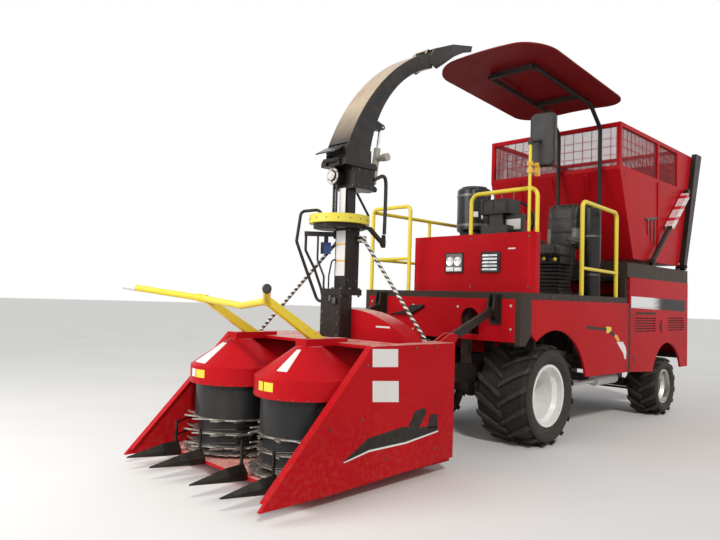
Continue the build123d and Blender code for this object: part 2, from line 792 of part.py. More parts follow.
def seat():
    y = 405
    base = block((-1230, -860), (y - 170, y + 170), (deck_top, 1800))
    cushion = block((-1240, -760), (y - 205, y + 205), (1800, 1950))
    cushion = fillet(cushion.edges().filter_by(Axis.Z), 60)
    back = side_slab([(-1180, 1930), (-1240, 2600), (-1350, 2620), (-1290, 1930)], y - 195, y + 195)
    arms = block((-1235, -880), (y - 262, y - 212), (2040, 2090))
    arms += block((-1235, -880), (y + 212, y + 262), (2040, 2090))
    arms += block((-1235, -1185), (y - 262, y + 262), (2040, 2085))
    return base + cushion + back + arms


def console():
    column = block((20, 240), (250, 560), (deck_top, 2200))
    pod = block((-80, 200), (200, 540), (2330, 2480))
    pod = fillet(pod.edges().filter_by(Axis.Z), 40)
    neck = block((40, 160), (300, 460), (2150, 2360))
    shaft = rod((60, 400, 2180), (-230, 400, 2330), 22)
    wheel = Plane(origin=(-240, 400, 2335), z_dir=(-0.88, 0, 0.46)) * Torus(185, 15)
    hub = Plane(origin=(-240, 400, 2335), z_dir=(-0.88, 0, 0.46)) * Cylinder(45, 24)
    spokes = Plane(origin=(-240, 400, 2335), z_dir=(-0.88, 0, 0.46)) * (Box(360, 24, 12) + Box(24, 360, 12))
    return column + pod + neck + shaft + wheel + hub + spokes


def air_cleaner():
    x, y = -250, -190
    stand = block((x - 110, x + 110), (y - 110, y + 110), (deck_top, 2215))
    can = upright(x, y, 190, 2200, 2700)
    return stand + fillet(can.edges().filter_by(GeomType.CIRCLE), 30)


def oil_tank():
    can = upright(-1350, 712, 104, deck_top, 2590)
    return fillet(can.edges().filter_by(GeomType.CIRCLE).sort_by(Axis.Z)[-1], 60)


# Header linkage
def link_end(pivot):
    return pivot[0] + link_reach, pivot[1] + link_drop


def lift_arms():
    end = link_end(lower_pivot)
    arms = []
    for side_sign in (-1, 1):
        y = side_sign * lower_link_y
        arm = link_bar(lower_pivot, end, 42, y - 20, y + 20, 46, link_pin_radius + pin_gap)
        low, high = sorted((y - side_sign * 19, side_sign * (lift_cylinder_y + 22 + side_gap)))
        arm += cross_pin(*lift_eye, 26, low, high)
        root = (lift_eye[0], lift_eye[1] + 50)
        arm += side_slab([(lift_eye[0] - 40, root[1]), (lift_eye[0] + 40, root[1]),
                          (lift_eye[0] + 26, lift_eye[1]),
                          (lift_eye[0] - 26, lift_eye[1])], y - 20, y + 20)
        arm += cross_pin(*lift_eye, 26, y - 20, y + 20)
        arms.append(arm)
    tube_x = lower_pivot[0] + 0.55 * link_reach
    tube_z = lower_pivot[1] + 0.55 * link_drop
    return arms[0] + arms[1] + cross_pin(tube_x, tube_z, 30, -lower_link_y, lower_link_y)


def upper_link():
    return link_bar(upper_pivot, link_end(upper_pivot), 36, upper_link_y - 19, upper_link_y + 19, 40,
                    18 + pin_gap)


def along_lift(distance):
    run, rise = lift_eye[0] - lift_base[0], lift_eye[1] - lift_base[1]
    length = math.hypot(run, rise)
    return lift_base[0] + run / length * distance, lift_base[1] + rise / length * distance


def lift_barrel():
    y = lift_cylinder_y
    x0, z0 = lift_base
    body = cross_pin(x0, z0, 30, y - 24, y + 24)
    xa, za = along_lift(26)
    xb, zb = along_lift(370)
    body += rod((xa, y, za), (xb, y, zb), 33)
    xc, zc = along_lift(80)
    xd, zd = along_lift(380)
    body -= rod((xc, y, zc), (xd, y, zd), 18 + pin_gap)
    return body - cross_pin(x0, z0, 15 + pin_gap, y - 40, y + 40)


def lift_rod():
    y = lift_cylinder_y
    length = math.hypot(lift_eye[0] - lift_base[0], lift_eye[1] - lift_base[1])
    xa, za = along_lift(120)
    xb, zb = along_lift(length)
    return rod((xa, y, za), (xb, y, zb), 18) + cross_pin(xb, zb, 28, y - 22, y + 22)


# Header
def header_frame():
    rear = header_rear_x + 5
    inner = header_half_width - side_panel_wall
    frame = block((rear, rear + 100), (-inner, inner), (300, 400))
    frame += block((rear, rear + 100), (-inner, inner), (950, 1040))
    for y in (-730, -290, 290, 730):
        frame += block((rear, rear + 100), (y - 40, y + 40), (floor_z, 1000))
    frame += block((rear, 3150), (-inner, inner), (floor_z, floor_z + floor_wall))
    # Inner wall with the crop intake
    wall = block((inner_wall_x, inner_wall_x + 14), (-inner, inner), (floor_z + 10, 1041))
    wall -= block((inner_wall_x - 10, inner_wall_x + 30), (-210, 210), (200, 640))
    frame += wall
    # Top plate, open round the chopper housing
    top = block((rear, 2500), (-inner, inner), (1040, header_top_z))
    top -= block((1740, 2100), (-320, 780), (1030, header_top_z + 10))
    frame += top
    for side_sign in (-1, 1):
        y = side_sign * drum_y
        frame += block((2380, 2800), (y - 62, y + 62), (hood_top_z, 1095))
        frame += upright(drum_x, y, 118, floor_z + 10, drum_bottom_z - seat_gap)
        frame += upright(drum_x, y, 30, floor_z + 10, 600)
        # Ears for the lower and upper links
        ear_x, ear_z = link_end(lower_pivot)
        low, high = sorted((side_sign * (lower_link_y + 25), side_sign * (lower_link_y + 55)))
        frame += block((ear_x, rear + 20), (low, high), (ear_z - 50, ear_z + 50))
        frame += cross_pin(ear_x, ear_z, 50, low, high)
        low, high = sorted((side_sign * (lower_link_y - 24), side_sign * (lower_link_y + 40)))
        frame += cross_pin(ear_x, ear_z, link_pin_radius, low, high)
        up_x, up_z = link_end(upper_pivot)
        for offset in (-31, 31):
            y = side_sign * upper_link_y + offset
            frame += side_slab([(up_x, up_z + 40), (up_x + 60, up_z + 36), (rear + 100, 1010),
                                (rear + 100, 955),
                                (rear, 955), (up_x, up_z - 40)], y - 10, y + 10)
            frame += cross_pin(up_x, up_z, 40, y - 10, y + 10)
        y = side_sign * upper_link_y
        frame += cross_pin(up_x, up_z, 18, y - 40, y + 40)
    return frame


def header_side_panel():
    outer, inner = header_half_width, header_half_width - side_panel_wall
    outline = [(header_nose_x, header_nose_z), (header_top_front_x, header_top_z),
               (header_rear_x, header_top_z),
               (header_rear_x, header_bottom_z), (2900, header_nose_z)]
    panel = side_slab(outline, inner, outer)
    run, rise = header_top_front_x - header_nose_x, header_top_z - header_nose_z
    length = math.hypot(run, rise)
    ux, uz = run / length, rise / length
    wall = 10
    flange = side_slab([(header_nose_x + ux * 60, header_nose_z + uz * 60),
                        (header_top_front_x, header_top_z),
                        (header_top_front_x - uz * wall, header_top_z + ux * wall),
                        (header_nose_x + ux * 60 - uz * wall, header_nose_z + uz * 60 + ux * wall)],
                        inner - 34, inner + 5)
    return panel + flange


def drum_hood():
    """Left hood: a skirt under a cone, hung from the header's top arm."""
    points = [(0, hood_top_z), (hood_neck_radius, hood_top_z), (hood_radius, hood_brim_top),
              (hood_radius, hood_brim_bottom),
              (hood_radius - hood_wall, hood_brim_bottom), (hood_radius - hood_wall, hood_brim_top - 6),
              (hood_neck_radius, hood_top_z - 16), (0, hood_top_z - 16)]
    section = Plane.XZ * make_face(Polyline(*points, close=True))
    return Pos(drum_x, drum_y, -seat_gap) * revolve(section, axis=Axis.Z)


def toothed_ring(count, tooth):
    """Outline of a ring of equal teeth, in X and Y. A tooth is a list of radius and share of the pitch."""
    points = []
    for i in range(count):
        for radius, share in tooth:
            angle = 2 * math.pi * (i + share) / count
            points.append((radius * math.cos(angle), radius * math.sin(angle)))
    return points


def drum():
    """Gathering drum: hollow shell, hooked rings, lower cone, saw disc and hub tube."""
    wall = 12
    shell = upright(0, 0, drum_radius, 400, drum_top_z)
    shell += upright(0, 0, drum_radius - 30, drum_bottom_z + 20, 405)
    root = drum_radius + 12
    belly = drum_radius + 40
    claw = [(root, 0.0), (root, 0.42), (belly + 8, 0.66), (drum_tip_radius, 0.95),
            (drum_tip_radius - 12, 0.98),
            (belly, 0.84), (root + 6, 0.74)]
    for z in ring_levels:
        shell += flat_slab(toothed_ring(hooks_per_ring, claw), z - ring_wall / 2, z + ring_wall / 2)
    blade_root, blade_tip = drum_radius + 62, drum_radius + 78
    blade = [(blade_root, 0.0), (blade_root, 0.55), (blade_tip, 0.3), (blade_tip, 0.42)]
    shell += flat_slab(toothed_ring(saw_teeth, blade), drum_bottom_z, drum_bottom_z + 8)
    shell += upright(0, 0, drum_radius - 60, drum_bottom_z, drum_bottom_z + 30)
    shell -= upright(0, 0, drum_radius - 30 - wall, drum_bottom_z + 30, 400)
    shell -= upright(0, 0, drum_radius - wall, 399, drum_top_z - wall)
    shell += upright(0, 0, 60, drum_bottom_z, drum_top_z)
    shell -= upright(0, 0, 30 + pin_gap, drum_bottom_z - 10, 601)
    return Pos(drum_x, drum_y, 0) * shell


def snout_face(x, y, half_width, bottom, shoulder, ridge):
    """Five-sided section of a point: flat below, upright cheeks and a ridge on top."""
    corners = [(y - half_width, bottom), (y + half_width, bottom), (y + half_width, shoulder), (y, ridge),
               (y - half_width, shoulder)]
    return Plane.YZ.offset(x) * make_face(Polyline(*corners, close=True))


def divider_point(y, guide):
    """Low ridged snout with a post that holds two guide bars over the claws."""
    faces = [snout_face(snout_rear_x, y, 56, 98, 150, 206), snout_face(3290, y, 50, 106, 146, 196),
             snout_face(3580, y, 6, 126, 131, 136)]
    point = loft(faces, ruled=True)
    post_x = snout_rear_x + 18
    point += upright(post_x, y, 12, 150, guide_levels[1] + 12)
    for z in guide_levels:
        runs = [(post_x, y, z)] + [(x, side_y, z) for x, side_y in guide]
        point += bent_tube(runs, 70, 8)
    return point


def divider_points():
    """Four low snouts ahead of the drums, with guide bars between the ring levels."""
    wall_x = inner_wall_x + 14 + seat_gap
    points = []
    for side_sign in (1, -1):
        inner = [(2950, 110), (2560, 80), (2410, 225), (2320, 256), (wall_x, 256)]
        outer = [(2990, 780), (2700, 842), (wall_x, 842)]
        points.append(divider_point(side_sign * 280, [(x, side_sign * y) for x, y in inner]))
        points.append(divider_point(side_sign * 650, [(x, side_sign * y) for x, y in outer]))
    return points


def push_bar():
    bend_y, bend_x, bend_z = 420, 3105, 1368
    runs = [(3516, -973, 1450), (bend_x, -bend_y, bend_z), (3033, 0, 1323), (bend_x, bend_y, bend_z),
            (3516, 973, 1450)]
    bar = None
    for start, end in zip(runs, runs[1:]):
        piece = rod(start, end, 26)
        bar = piece if bar is None else bar + piece
    for x, y, z in runs[1:-1]:
        bar += Pos(x, y, z) * Sphere(26)
    for side_sign in (-1, 1):
        y = side_sign * bend_y
        bar += side_slab([(2560, 1095), (2700, 1095), (bend_x + 20, bend_z - 10),
                          (bend_x - 20, bend_z + 25)], y - 25, y + 25)
    return bar


def chopper_housing():
    """Flat drum housing of the flywheel cutter, standing across the header's middle."""
    front, rear = 1950, 1750
    edge = (
        Polyline((715, 1110), (770, 1020), (770, 140), (-300, 140), (-300, 1150), (-180, 1314), (40, 1314))
        + ThreePointArc((40, 1314), (390, 1262), (715, 1110)))
    body = Pos(rear, 0, 0) * extrude(Plane.YZ * make_face(edge), amount=front - rear, dir=(1, 0, 0))
    throat = block((front, inner_wall_x), (-240, 240), (160, 680))
    throat -= block((front + 10, inner_wall_x + 1), (-215, 215), (190, 650))
    return body + throat


def spout_column():
    """Black chute base, square column and the plate under the slewing ring."""
    half_d, half_w = column_depth / 2, column_width / 2
    base = block((1950, 2090), (-150, 100), (1000, 1430))
    base += block((1850, 2100), (-145, 118), (1430, column_bottom))
    column = block((column_x - half_d, column_x + half_d), (-half_w, half_w),
                   (column_bottom - 5, ring_plate_z + 5))
    plate = upright(ring_x, ring_y, slew_ring_radius - 40, ring_plate_z, ring_plate_z + ring_plate_wall)
    shape = base + column + plate
    shape -= block((column_x - half_d + column_wall, column_x + half_d - column_wall),
                   (-half_w + column_wall, half_w - column_wall),
                   (column_bottom - 30, ring_plate_z + ring_plate_wall + 5))
    return shape


def slew_ring():
    """Yellow gear cover. It sits off the column's axis, towards the drive motor."""
    low = ring_plate_z + ring_plate_wall
    ring = upright(ring_x, ring_y, slew_ring_radius, low + seat_gap, ring_top)
    return ring - upright(column_x, 0, slew_ring_radius - 105, low - 5, low + 100)


def column_stays():
    near = rod((1826, 100, 1930), (1620, 660, header_top_z + 16), 15)
    far = rod((1940, -92, 1933), (2255, -800, header_top_z + 16), 15)
    near += block((1590, 1650), (630, 690), (header_top_z, header_top_z + 14))
    far += block((2225, 2285), (-830, -770), (header_top_z, header_top_z + 14))
    near += block((1806, 1872), (71, 116), (1900, 1960))
    far += block((1915, 1965), (-110, -71), (1903, 1960))
    return [near, far]


def arm_point(along, across):
    """A place in X and Y on the hose arm, which leaves the column's corner forward and to the right."""
    slope = math.sqrt(0.5)
    return arm_root[0] + slope * (along + across), arm_root[1] + slope * (across - along)


def arm_block(along, across, z):
    corners = [(along[0], across[0]), (along[1], across[0]), (along[1], across[1]), (along[0], across[1])]
    return flat_slab([arm_point(*corner) for corner in corners], *z)


def column_hoses():
    """Arm on the column with its valve, and four hoses that lead down to the chute's base."""
    arm_low, arm_high = 1948, 1988
    arm = arm_block((0, 275), (-20, 20), (arm_low, arm_high))
    arm += block((1990, 2009), (-100, -71), (1930, 2005))
    arm += arm_block((62, 100), (-12, 12), (1890, arm_low + 5))
    arm += arm_block((38, 126), (-40, 40), (1793, 1893))
    base_side = -150 - seat_gap
    flange = column_bottom + seat_gap
    end_x, end_y = arm_point(262, 0)
    mid_x, mid_y = arm_point(154, 0)
    arm += bent_tube([(end_x, end_y, arm_low + 4), (end_x, end_y, 1820), (2115, -222, 1660),
                      (2040, -208, 1480),
                      (1990, -215, 1320), (1990, base_side, 1320)], 50, 12)
    arm += bent_tube([(mid_x, mid_y, arm_low + 4), (mid_x, mid_y, 1740), (2086, -124, 1590),
                      (2086, -124, flange)], 60, 9)
    loop = bent_tube([(2075, -195, ring_top + seat_gap), (2075, -195, ring_top + 62),
                      (2205, -325, ring_top + 40),
                      (2228, -348, 1900), (2160, -288, 1660), (2060, -230, 1372), (2060, base_side, 1372)],
                      48, 14)
    front = column_x + column_depth / 2 + seat_gap
    branch = bent_tube([(front, -57, 1740), (2056, -57, 1740), (2056, -93, 1600), (2056, -93, flange)], 30, 7)
    return [arm, loop, branch]


def turret():
    """Turning part of the spout: post, clamp box, collar and the ears for hinge and cylinder."""
    low = ring_plate_z + ring_plate_wall + seat_gap
    shape = upright(column_x, 0, 150, low, low + 40)
    shape += upright(column_x, 0, post_radius, low, 2380)
    shape += block((1750, 2000), (-140, 140), (2370, 2560))
    shape += block((1740, 2130), (-160, 160), (2555, turret_top_z))
    shape -= upright(column_x, 0, post_radius - 14, low - 5, 2390)
    shape -= block((1800, 1980), (-115, 115), (2384, turret_top_z + 5))
    # Slewing motor with its two pillars and the gear cap over the ring
    motor_y, motor_z, motor_radius = -55, 2480, 76
    motor = rod((1995, motor_y, motor_z), (2085, motor_y, motor_z), motor_radius)
    motor += rod((2080, motor_y, motor_z), (2100, motor_y, motor_z), 46)
    for x, y in ((2055, -25), (2035, -85)):
        motor += upright(x, y, 9, low + 35, motor_z - 60)
    motor += upright(2050, -60, 62, ring_top + 6, ring_top + 20)
    shape += motor
    hinge_x, hinge_z = spout_hinge
    for y in (-84, 84):
        shape += block((2100, hinge_x), (y - 12, y + 12), (2560, turret_top_z - 2))
        shape += block((2133, hinge_x), (y - 12, y + 12), (2570, hinge_z))
        shape += cross_pin(hinge_x, hinge_z, 17, y - 12, y + 12)
    shape += cross_pin(hinge_x, hinge_z, 9, -90, 90)
    eye_x, eye_z = spout_eye_low
    for y in (-32, 32):
        shape += side_slab([(1752, eye_z + 70), (1752, eye_z - 38), (eye_x, eye_z - 26),
                            (eye_x, eye_z + 26)], y - 9, y + 9)
        shape += cross_pin(eye_x, eye_z, 26, y - 9, y + 9)
    return shape + cross_pin(eye_x, eye_z, 10, -38, 38)


def arc_point(arc, degrees, inset=0):
    x, z, radius = arc
    angle = math.radians(degrees)
    return x + (radius + inset) * math.cos(angle), z + (radius + inset) * math.sin(angle)


def duct_face(outer_inset, inner_inset, outer_from, outer_to, inner_from, inner_to):
    """The area between the spout's outer and inner arcs, in X and Z."""
    outer_mid = (outer_from + outer_to) / 2
    inner_mid = (inner_from + inner_to) / 2
    a, b, c = (arc_point(outer_arc, t, outer_inset) for t in (outer_from, outer_mid, outer_to))
    d, e, f = (arc_point(inner_arc, t, inner_inset) for t in (inner_to, inner_mid, inner_from))
    return Plane.XZ * make_face(ThreePointArc(a, b, c) + Line(c, d) + ThreePointArc(d, e, f) + Line(f, a))


def spout_duct():
    """Curved duct that narrows towards its end, with its hinge knuckle and lugs."""
    half = spout_half_width
    width = 2 * half
    solid = Pos(0, -half, 0) * extrude(duct_face(0, 0, 19, 67.5, 8.5, 72.2), amount=width, dir=(0, 1, 0))
    foot = turret_top_z + side_gap
    base = block((1790, 2100), (-half, half), (foot, 2726))
    base += block((1745, 2130), (-155, 155), (foot, foot + 20))
    hollow = Pos(0, spout_wall - half, 0) * extrude(
        duct_face(-spout_wall, spout_wall, 17, 70, 6, 76), amount=width - 2 * spout_wall, dir=(0, 1, 0))
    hollow += block((1802, 2080), (spout_wall - half, half - spout_wall), (2580, 2760))
    shape = solid + base - hollow
    # Visor over the slewing motor
    shape += side_slab([(2085, 2738), (2206, 2668), (2206, 2656), (2085, 2722)], -152, 96)
    hinge_x, hinge_z = spout_hinge
    shape += block((2110, hinge_x), (-69, 69), (foot, foot + 20)) + cross_pin(hinge_x, hinge_z, 18, -69, 69)
    shape -= cross_pin(hinge_x, hinge_z, 9 + pin_gap, -100, 100)
    # Lug for the cylinder's upper eye, whose hole leaves room for the swing
    eye_x, eye_z = spout_eye_high
    for y in (-32, 32):
        shape += side_slab([(1703, 3075), (1752, 2950), (eye_x, eye_z - 24), (eye_x, eye_z + 24)], y - 9,
                           y + 9)
        shape += cross_pin(eye_x, eye_z, 26, y - 9, y + 9)
    shape -= cross_pin(eye_x, eye_z, 13, -50, 50)
    # Ears and pin for the flap
    flap_x, flap_z = flap_hinge
    for y in (-73, 73):
        shape += side_slab([(1010, 3860), (978, 3916), (960, 3902), (976, 3868)], y - 11, y + 11)
        shape += cross_pin(flap_x, flap_z, 14, y - 11, y + 11)
    return shape + cross_pin(flap_x, flap_z, 7, -80, 80)


def spout_flap():
    """End deflector: a top plate with two cheeks, hung from a knuckle."""
    half = spout_half_width
    flap_x, flap_z = flap_hinge
    top = [(944, 3918), (640, 4052), (310, 4132), (306, 4120), (636, 4040), (940, 3906)]
    flap = side_slab(top, -half - side_gap - 6, half + side_gap + 6)
    flap += side_slab([(936, 3921), (flap_x, 3912), (flap_x, 3898), (936, 3908)], -60, 60)
    flap += cross_pin(flap_x, flap_z, 13, -60, 60)
    cheek = side_slab([(944, 3916), (640, 4050), (310, 4130), (325, 4064), (470, 4012), (620, 3930),
                       (800, 3797),
                       (905, 3722), (995, 3748), (1010, 3830)], half + side_gap, half + side_gap + 6)
    flap += cheek + mirrored(cheek)
    return flap - cross_pin(flap_x, flap_z, 7 + pin_gap, -90, 90)


def along_spout(distance):
    run = spout_eye_high[0] - spout_eye_low[0]
    rise = spout_eye_high[1] - spout_eye_low[1]
    length = math.hypot(run, rise)
    return spout_eye_low[0] + run / length * distance, spout_eye_low[1] + rise / length * distance


def spout_barrel():
    neck_x, neck_z = along_spout(60)
    end_x, end_z = along_spout(400)
    body = cross_pin(*spout_eye_low, 22, -20, 20)
    body += rod((spout_eye_low[0], 0, spout_eye_low[1]), (neck_x, 0, neck_z), 18)
    body += rod((neck_x, 0, neck_z), (end_x, 0, end_z), 32)
    motor_x, motor_z = along_spout(300)
    body += rod((motor_x, 0, motor_z), (motor_x, 105, motor_z), 30)
    body += rod((motor_x, 95, motor_z), (motor_x, 150, motor_z), 36)
    bore_x, bore_z = along_spout(90)
    out_x, out_z = along_spout(410)
    body -= rod((bore_x, 0, bore_z), (out_x, 0, out_z), 14 + pin_gap)
    return body - cross_pin(*spout_eye_low, 10 + pin_gap, -30, 30)


def spout_rod():
    low_x, low_z = along_spout(110)
    eye_x, eye_z = spout_eye_high
    stem = rod((low_x, 0, low_z), (eye_x, 0, eye_z), 14) + cross_pin(eye_x, eye_z, 22, -20, 20)
    return stem + cross_pin(eye_x, eye_z, 9, -40, 40)


def main():
    keep("chassis_frame", chassis_frame(), *pair(link_bracket()))
    posts = body_posts()
    keep("body_posts", *posts, *[mirrored(post) for post in posts])
    keep("front_axle", front_axle())
    keep("rear_axle", rear_axle())
    keep("engine", engine())
    keep("muffler", muffler())
    keep("platform", platform())
    keep("front_panel", front_panel())
    keep("bulkhead", bulkhead())
    keep("head_lamps", *head_lamps())
    keep("side_panels", *pair(front_side_panel()), *pair(rear_side_panel()))
    keep("rear_panel", rear_panel())
    keep("hopper_support", hopper_support())
    keep("handrails", *handrails())
    keep("side_rails", *side_rails())
    keep("mirror", mirror_set())
    keep("canopy", canopy())
    keep("canopy_frame", canopy_frame())
    keep("seat", seat())
    keep("console", console())
    keep("air_cleaner", air_cleaner())
    keep("oil_tank", oil_tank())
    keep("lift_arms", lift_arms())
    keep("upper_links", *pair(upper_link()))
    keep("lift_barrels", *pair(lift_barrel()))
    keep("lift_rods", *pair(lift_rod()))
    keep("header_frame", header_frame())
    keep("header_side_panels", *pair(header_side_panel()))
    keep("drum_hoods", *pair(drum_hood()))
    keep("divider_points", *divider_points())
    keep("push_bar", push_bar())
    keep("chopper_housing", chopper_housing())
    keep("spout_column", spout_column())
    keep("slew_ring", slew_ring())
    keep("column_stays", *column_stays())
    keep("column_hoses", *column_hoses())
    keep("drum_left", drum())
    keep("drum_right", mirrored(drum()))
    keep("turret", turret())
    keep("spout_duct", spout_duct())
    keep("spout_flap", spout_flap())
    keep("spout_barrel", spout_barrel())
    keep("spout_rod", spout_rod())
    keep("hopper", hopper())
    keep("hopper_posts", *pair(hopper_post()))
    keep("hopper_screen", hopper_screen())
    keep("hopper_gate", hopper_gate())
    keep("tilt_barrels", *pair(tilt_barrel()))
    keep("tilt_rods", *pair(tilt_rod()))
    keep("knuckle_left", knuckle())
    keep("knuckle_right", mirrored(knuckle()))
    keep("tie_rod", tie_rod())
    place_wheels()
    for name, shape in nodes.items():
        export_step(shape, os.path.join(here, name + ".step"))


main()
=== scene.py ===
import math

import bmesh
import bpy
from mathutils import Matrix, Vector


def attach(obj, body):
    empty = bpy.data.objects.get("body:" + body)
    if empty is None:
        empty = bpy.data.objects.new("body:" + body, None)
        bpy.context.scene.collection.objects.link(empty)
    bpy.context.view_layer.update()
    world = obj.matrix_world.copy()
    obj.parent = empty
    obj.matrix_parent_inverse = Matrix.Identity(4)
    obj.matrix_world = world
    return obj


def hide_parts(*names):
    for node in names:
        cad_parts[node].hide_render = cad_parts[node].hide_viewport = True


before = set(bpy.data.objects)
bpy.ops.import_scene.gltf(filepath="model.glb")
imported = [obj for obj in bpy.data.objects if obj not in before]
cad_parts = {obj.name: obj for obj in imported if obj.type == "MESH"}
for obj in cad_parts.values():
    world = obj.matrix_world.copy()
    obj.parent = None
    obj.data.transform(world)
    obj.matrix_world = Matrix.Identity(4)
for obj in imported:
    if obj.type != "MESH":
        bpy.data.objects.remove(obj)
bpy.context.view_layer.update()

# The pieces are written in the front axle's frame and moved forward by this much
front_axle_x = 0.388

# Places that several pieces use
body_side = 0.995
deck_top = 1.507
panel_face = 0.93
decal = 0.0012
drum_x, drum_y = 2.715, 0.45
hood_rim, hood_neck = (0.402, 0.8247), (0.1, 1.0397)
tilt_low, tilt_high, tilt_y = Vector((-2.524, 0, 1.979)), Vector((-3.786, 0, 3.05)), 0.963
seat_y = 0.405


# Materials
class Nodes:
    """A node tree whose nodes are added one call at a time."""

    def __init__(self, tree):
        self.tree = tree

    def fill(self, node, inputs):
        """Gives inputs of a node a value, or links an output to them."""
        for socket, value in inputs.items():
            if isinstance(value, bpy.types.NodeSocket):
                self.tree.links.new(value, node.inputs[socket])
            else:
                node.inputs[socket].default_value = value

    def add(self, kind, inputs, **settings):
        node = self.tree.nodes.new(kind)
        for key, value in settings.items():
            setattr(node, key, value)
        self.fill(node, inputs)
        return node.outputs

    def maths(self, operation, a, b=0, c=0):
        return self.add("ShaderNodeMath", {0: a, 1: b, 2: c}, operation=operation)[0]

    def times(self, a, b):
        return self.maths("MULTIPLY", a, b)

    def most(self, a, b):
        return self.maths("MAXIMUM", a, b)


class Shader(Nodes):
    """A surface material."""

    def __init__(self, name, colour, roughness, **sockets):
        self.material = bpy.data.materials.new(name)
        self.material.use_nodes = True
        super().__init__(self.material.node_tree)
        self.surface = self.tree.nodes["Principled BSDF"]
        self.into("Base Color", (*colour, 1))
        self.into("Roughness", roughness)
        for socket, value in sockets.items():
            self.into(socket.replace("_", " "), value)
        self.place = self.add("ShaderNodeTexCoord", {})["Object"]

    def into(self, socket, value):
        self.fill(self.surface, {socket: value})

    def axis(self, letter):
        return self.add("ShaderNodeSeparateXYZ", {0: self.place})[letter]

    def facing(self, letter):
        """One part of the surface's own normal."""
        normal = self.add("ShaderNodeNewGeometry", {})["Normal"]
        return self.add("ShaderNodeSeparateXYZ", {0: normal})[letter]

    def noise(self, scale, detail=3, stretch=None):
        place = self.place
        if stretch:
            place = self.add("ShaderNodeMapping", {"Scale": stretch, "Vector": place})[0]
        inputs = {"Scale": scale, "Detail": detail, "Roughness": 0.55, "Vector": place}
        return self.add("ShaderNodeTexNoise", inputs)["Fac"]

    def cells(self, scale, randomness=1.0):
        """How far the nearest of many points lies."""
        inputs = {"Scale": scale, "Randomness": randomness, "Vector": self.place}
        return self.add("ShaderNodeTexVoronoi", inputs)["Distance"]

    def span(self, value, low, high, to_low=0.0, to_high=1.0):
        """value mapped from low..high to to_low..to_high, and held there outside it."""
        inputs = {"Value": value, "From Min": low, "From Max": high, "To Min": to_low, "To Max": to_high}
        return self.add("ShaderNodeMapRange", inputs)[0]

    def patches(self, scale, detail, low, high, to_low=0.0, to_high=1.0):
        return self.span(self.noise(scale, detail), low, high, to_low, to_high)

    def mix(self, factor, a, b):
        a, b = ((*value, 1) if isinstance(value, tuple) else value for value in (a, b))
        return self.add("ShaderNodeMix", {"Factor": factor, 6: a, 7: b}, data_type="RGBA")[2]

    def colour(self, factor, a, b):
        self.into("Base Color", self.mix(factor, a, b))

    def rough(self, value, low, high, to_low, to_high):
        self.into("Roughness", self.span(value, low, high, to_low, to_high))

    def bumped(self, height, strength, distance):
        """The finished material, with a relief."""
        inputs = {"Height": height, "Strength": strength, "Distance": distance}
        self.into("Normal", self.add("ShaderNodeBump", inputs)[0])
        return self.material

    def grained(self, scale, detail, strength, distance):
        return self.bumped(self.noise(scale, detail), strength, distance)


def painted(name, colour, roughness=0.3, coat=0.22, dust=(0.36, 0.24, 0.14), dust_top=0.9, amount=0.2,
            pale_tops=0.0, gleam=0.4):
    """Gloss paint with a slow change of tone, field dust that thins upwards, and a pale pink tint on faces
    that point up.
    """
    look = Shader(name, colour, roughness, Coat_Weight=coat, Coat_Roughness=0.1, Specular_IOR_Level=gleam)
    tone = look.patches(1.3, 4, 0.3, 0.7)
    paler = tuple(min(1.0, 0.004 + value * 1.06) for value in colour)
    darker = tuple(value * 0.9 for value in colour)
    height = look.span(look.axis("Z"), 0.05, dust_top, amount, 0.0)
    film = look.times(height, look.patches(26, 7, 0.45, 0.75))
    surface = look.mix(film, look.mix(tone, darker, paler), dust)
    # Faces that point up take a pale pink tint.
    if pale_tops:
        level = look.span(look.facing("Z"), 0.9, 0.99, 0.0, pale_tops)
        level = look.times(level, look.patches(9, 5, 0.25, 0.6))
        surface = look.mix(level, surface, (0.72, 0.46, 0.38))
    look.into("Base Color", surface)
    smears = look.patches(6, 4, 0.3, 0.75, roughness * 0.92, roughness * 1.15)
    look.into("Roughness", look.most(smears, look.times(film, 0.9)))
    return look.grained(240, 2, 0.12, 0.0008)


def bare_metal(name, colour, roughness=0.35, grain=(4, 60, 60)):
    look = Shader(name, colour, roughness, Metallic=1.0)
    streaks = look.noise(14, 5, grain)
    look.colour(look.patches(9, 5, 0.45, 0.75), colour, tuple(value * 0.45 for value in colour))
    look.rough(streaks, 0.2, 0.8, roughness * 0.7, roughness * 1.6)
    return look.bumped(streaks, 0.2, 0.0006)


def rubber(name, axle_x, axle_z, tread_low, tread_high):
    """Tyre rubber: near black between the lugs, dusty grey-brown on the lugs and on the walls."""
    look = Shader(name, (0.02, 0.018, 0.016), 0.72, Specular_IOR_Level=0.25)
    across = look.maths("SUBTRACT", look.axis("X"), axle_x + front_axle_x)
    up = look.maths("SUBTRACT", look.axis("Z"), axle_z)
    reach = look.maths("SQRT", look.maths("ADD", look.times(across, across), look.times(up, up)))
    dust = look.patches(7, 7, 0.3, 0.8)
    lugs = look.span(reach, tread_low, tread_high, 0.05, 1.0)
    wall = look.span(reach, tread_low - 0.02, tread_low - 0.01, 0.75, 0.0)
    film = look.times(look.most(lugs, wall), look.most(dust, look.patches(60, 4, 0.3, 0.75)))
    look.colour(film, (0.011, 0.01, 0.009), (0.085, 0.068, 0.056))
    look.rough(dust, 0, 1, 0.55, 0.9)
    return look.grained(95, 5, 0.35, 0.0012)


def plastic(name, colour, roughness=0.45, gleam=0.4):
    look = Shader(name, colour, roughness, Specular_IOR_Level=gleam)
    marks = look.patches(8, 5, 0.35, 0.7)
    look.colour(marks, colour, tuple(value * 1.5 + 0.01 for value in colour))
    look.rough(marks, 0, 1, roughness * 0.8, roughness * 1.35)
    return look.grained(420, 2, 0.3, 0.0005)


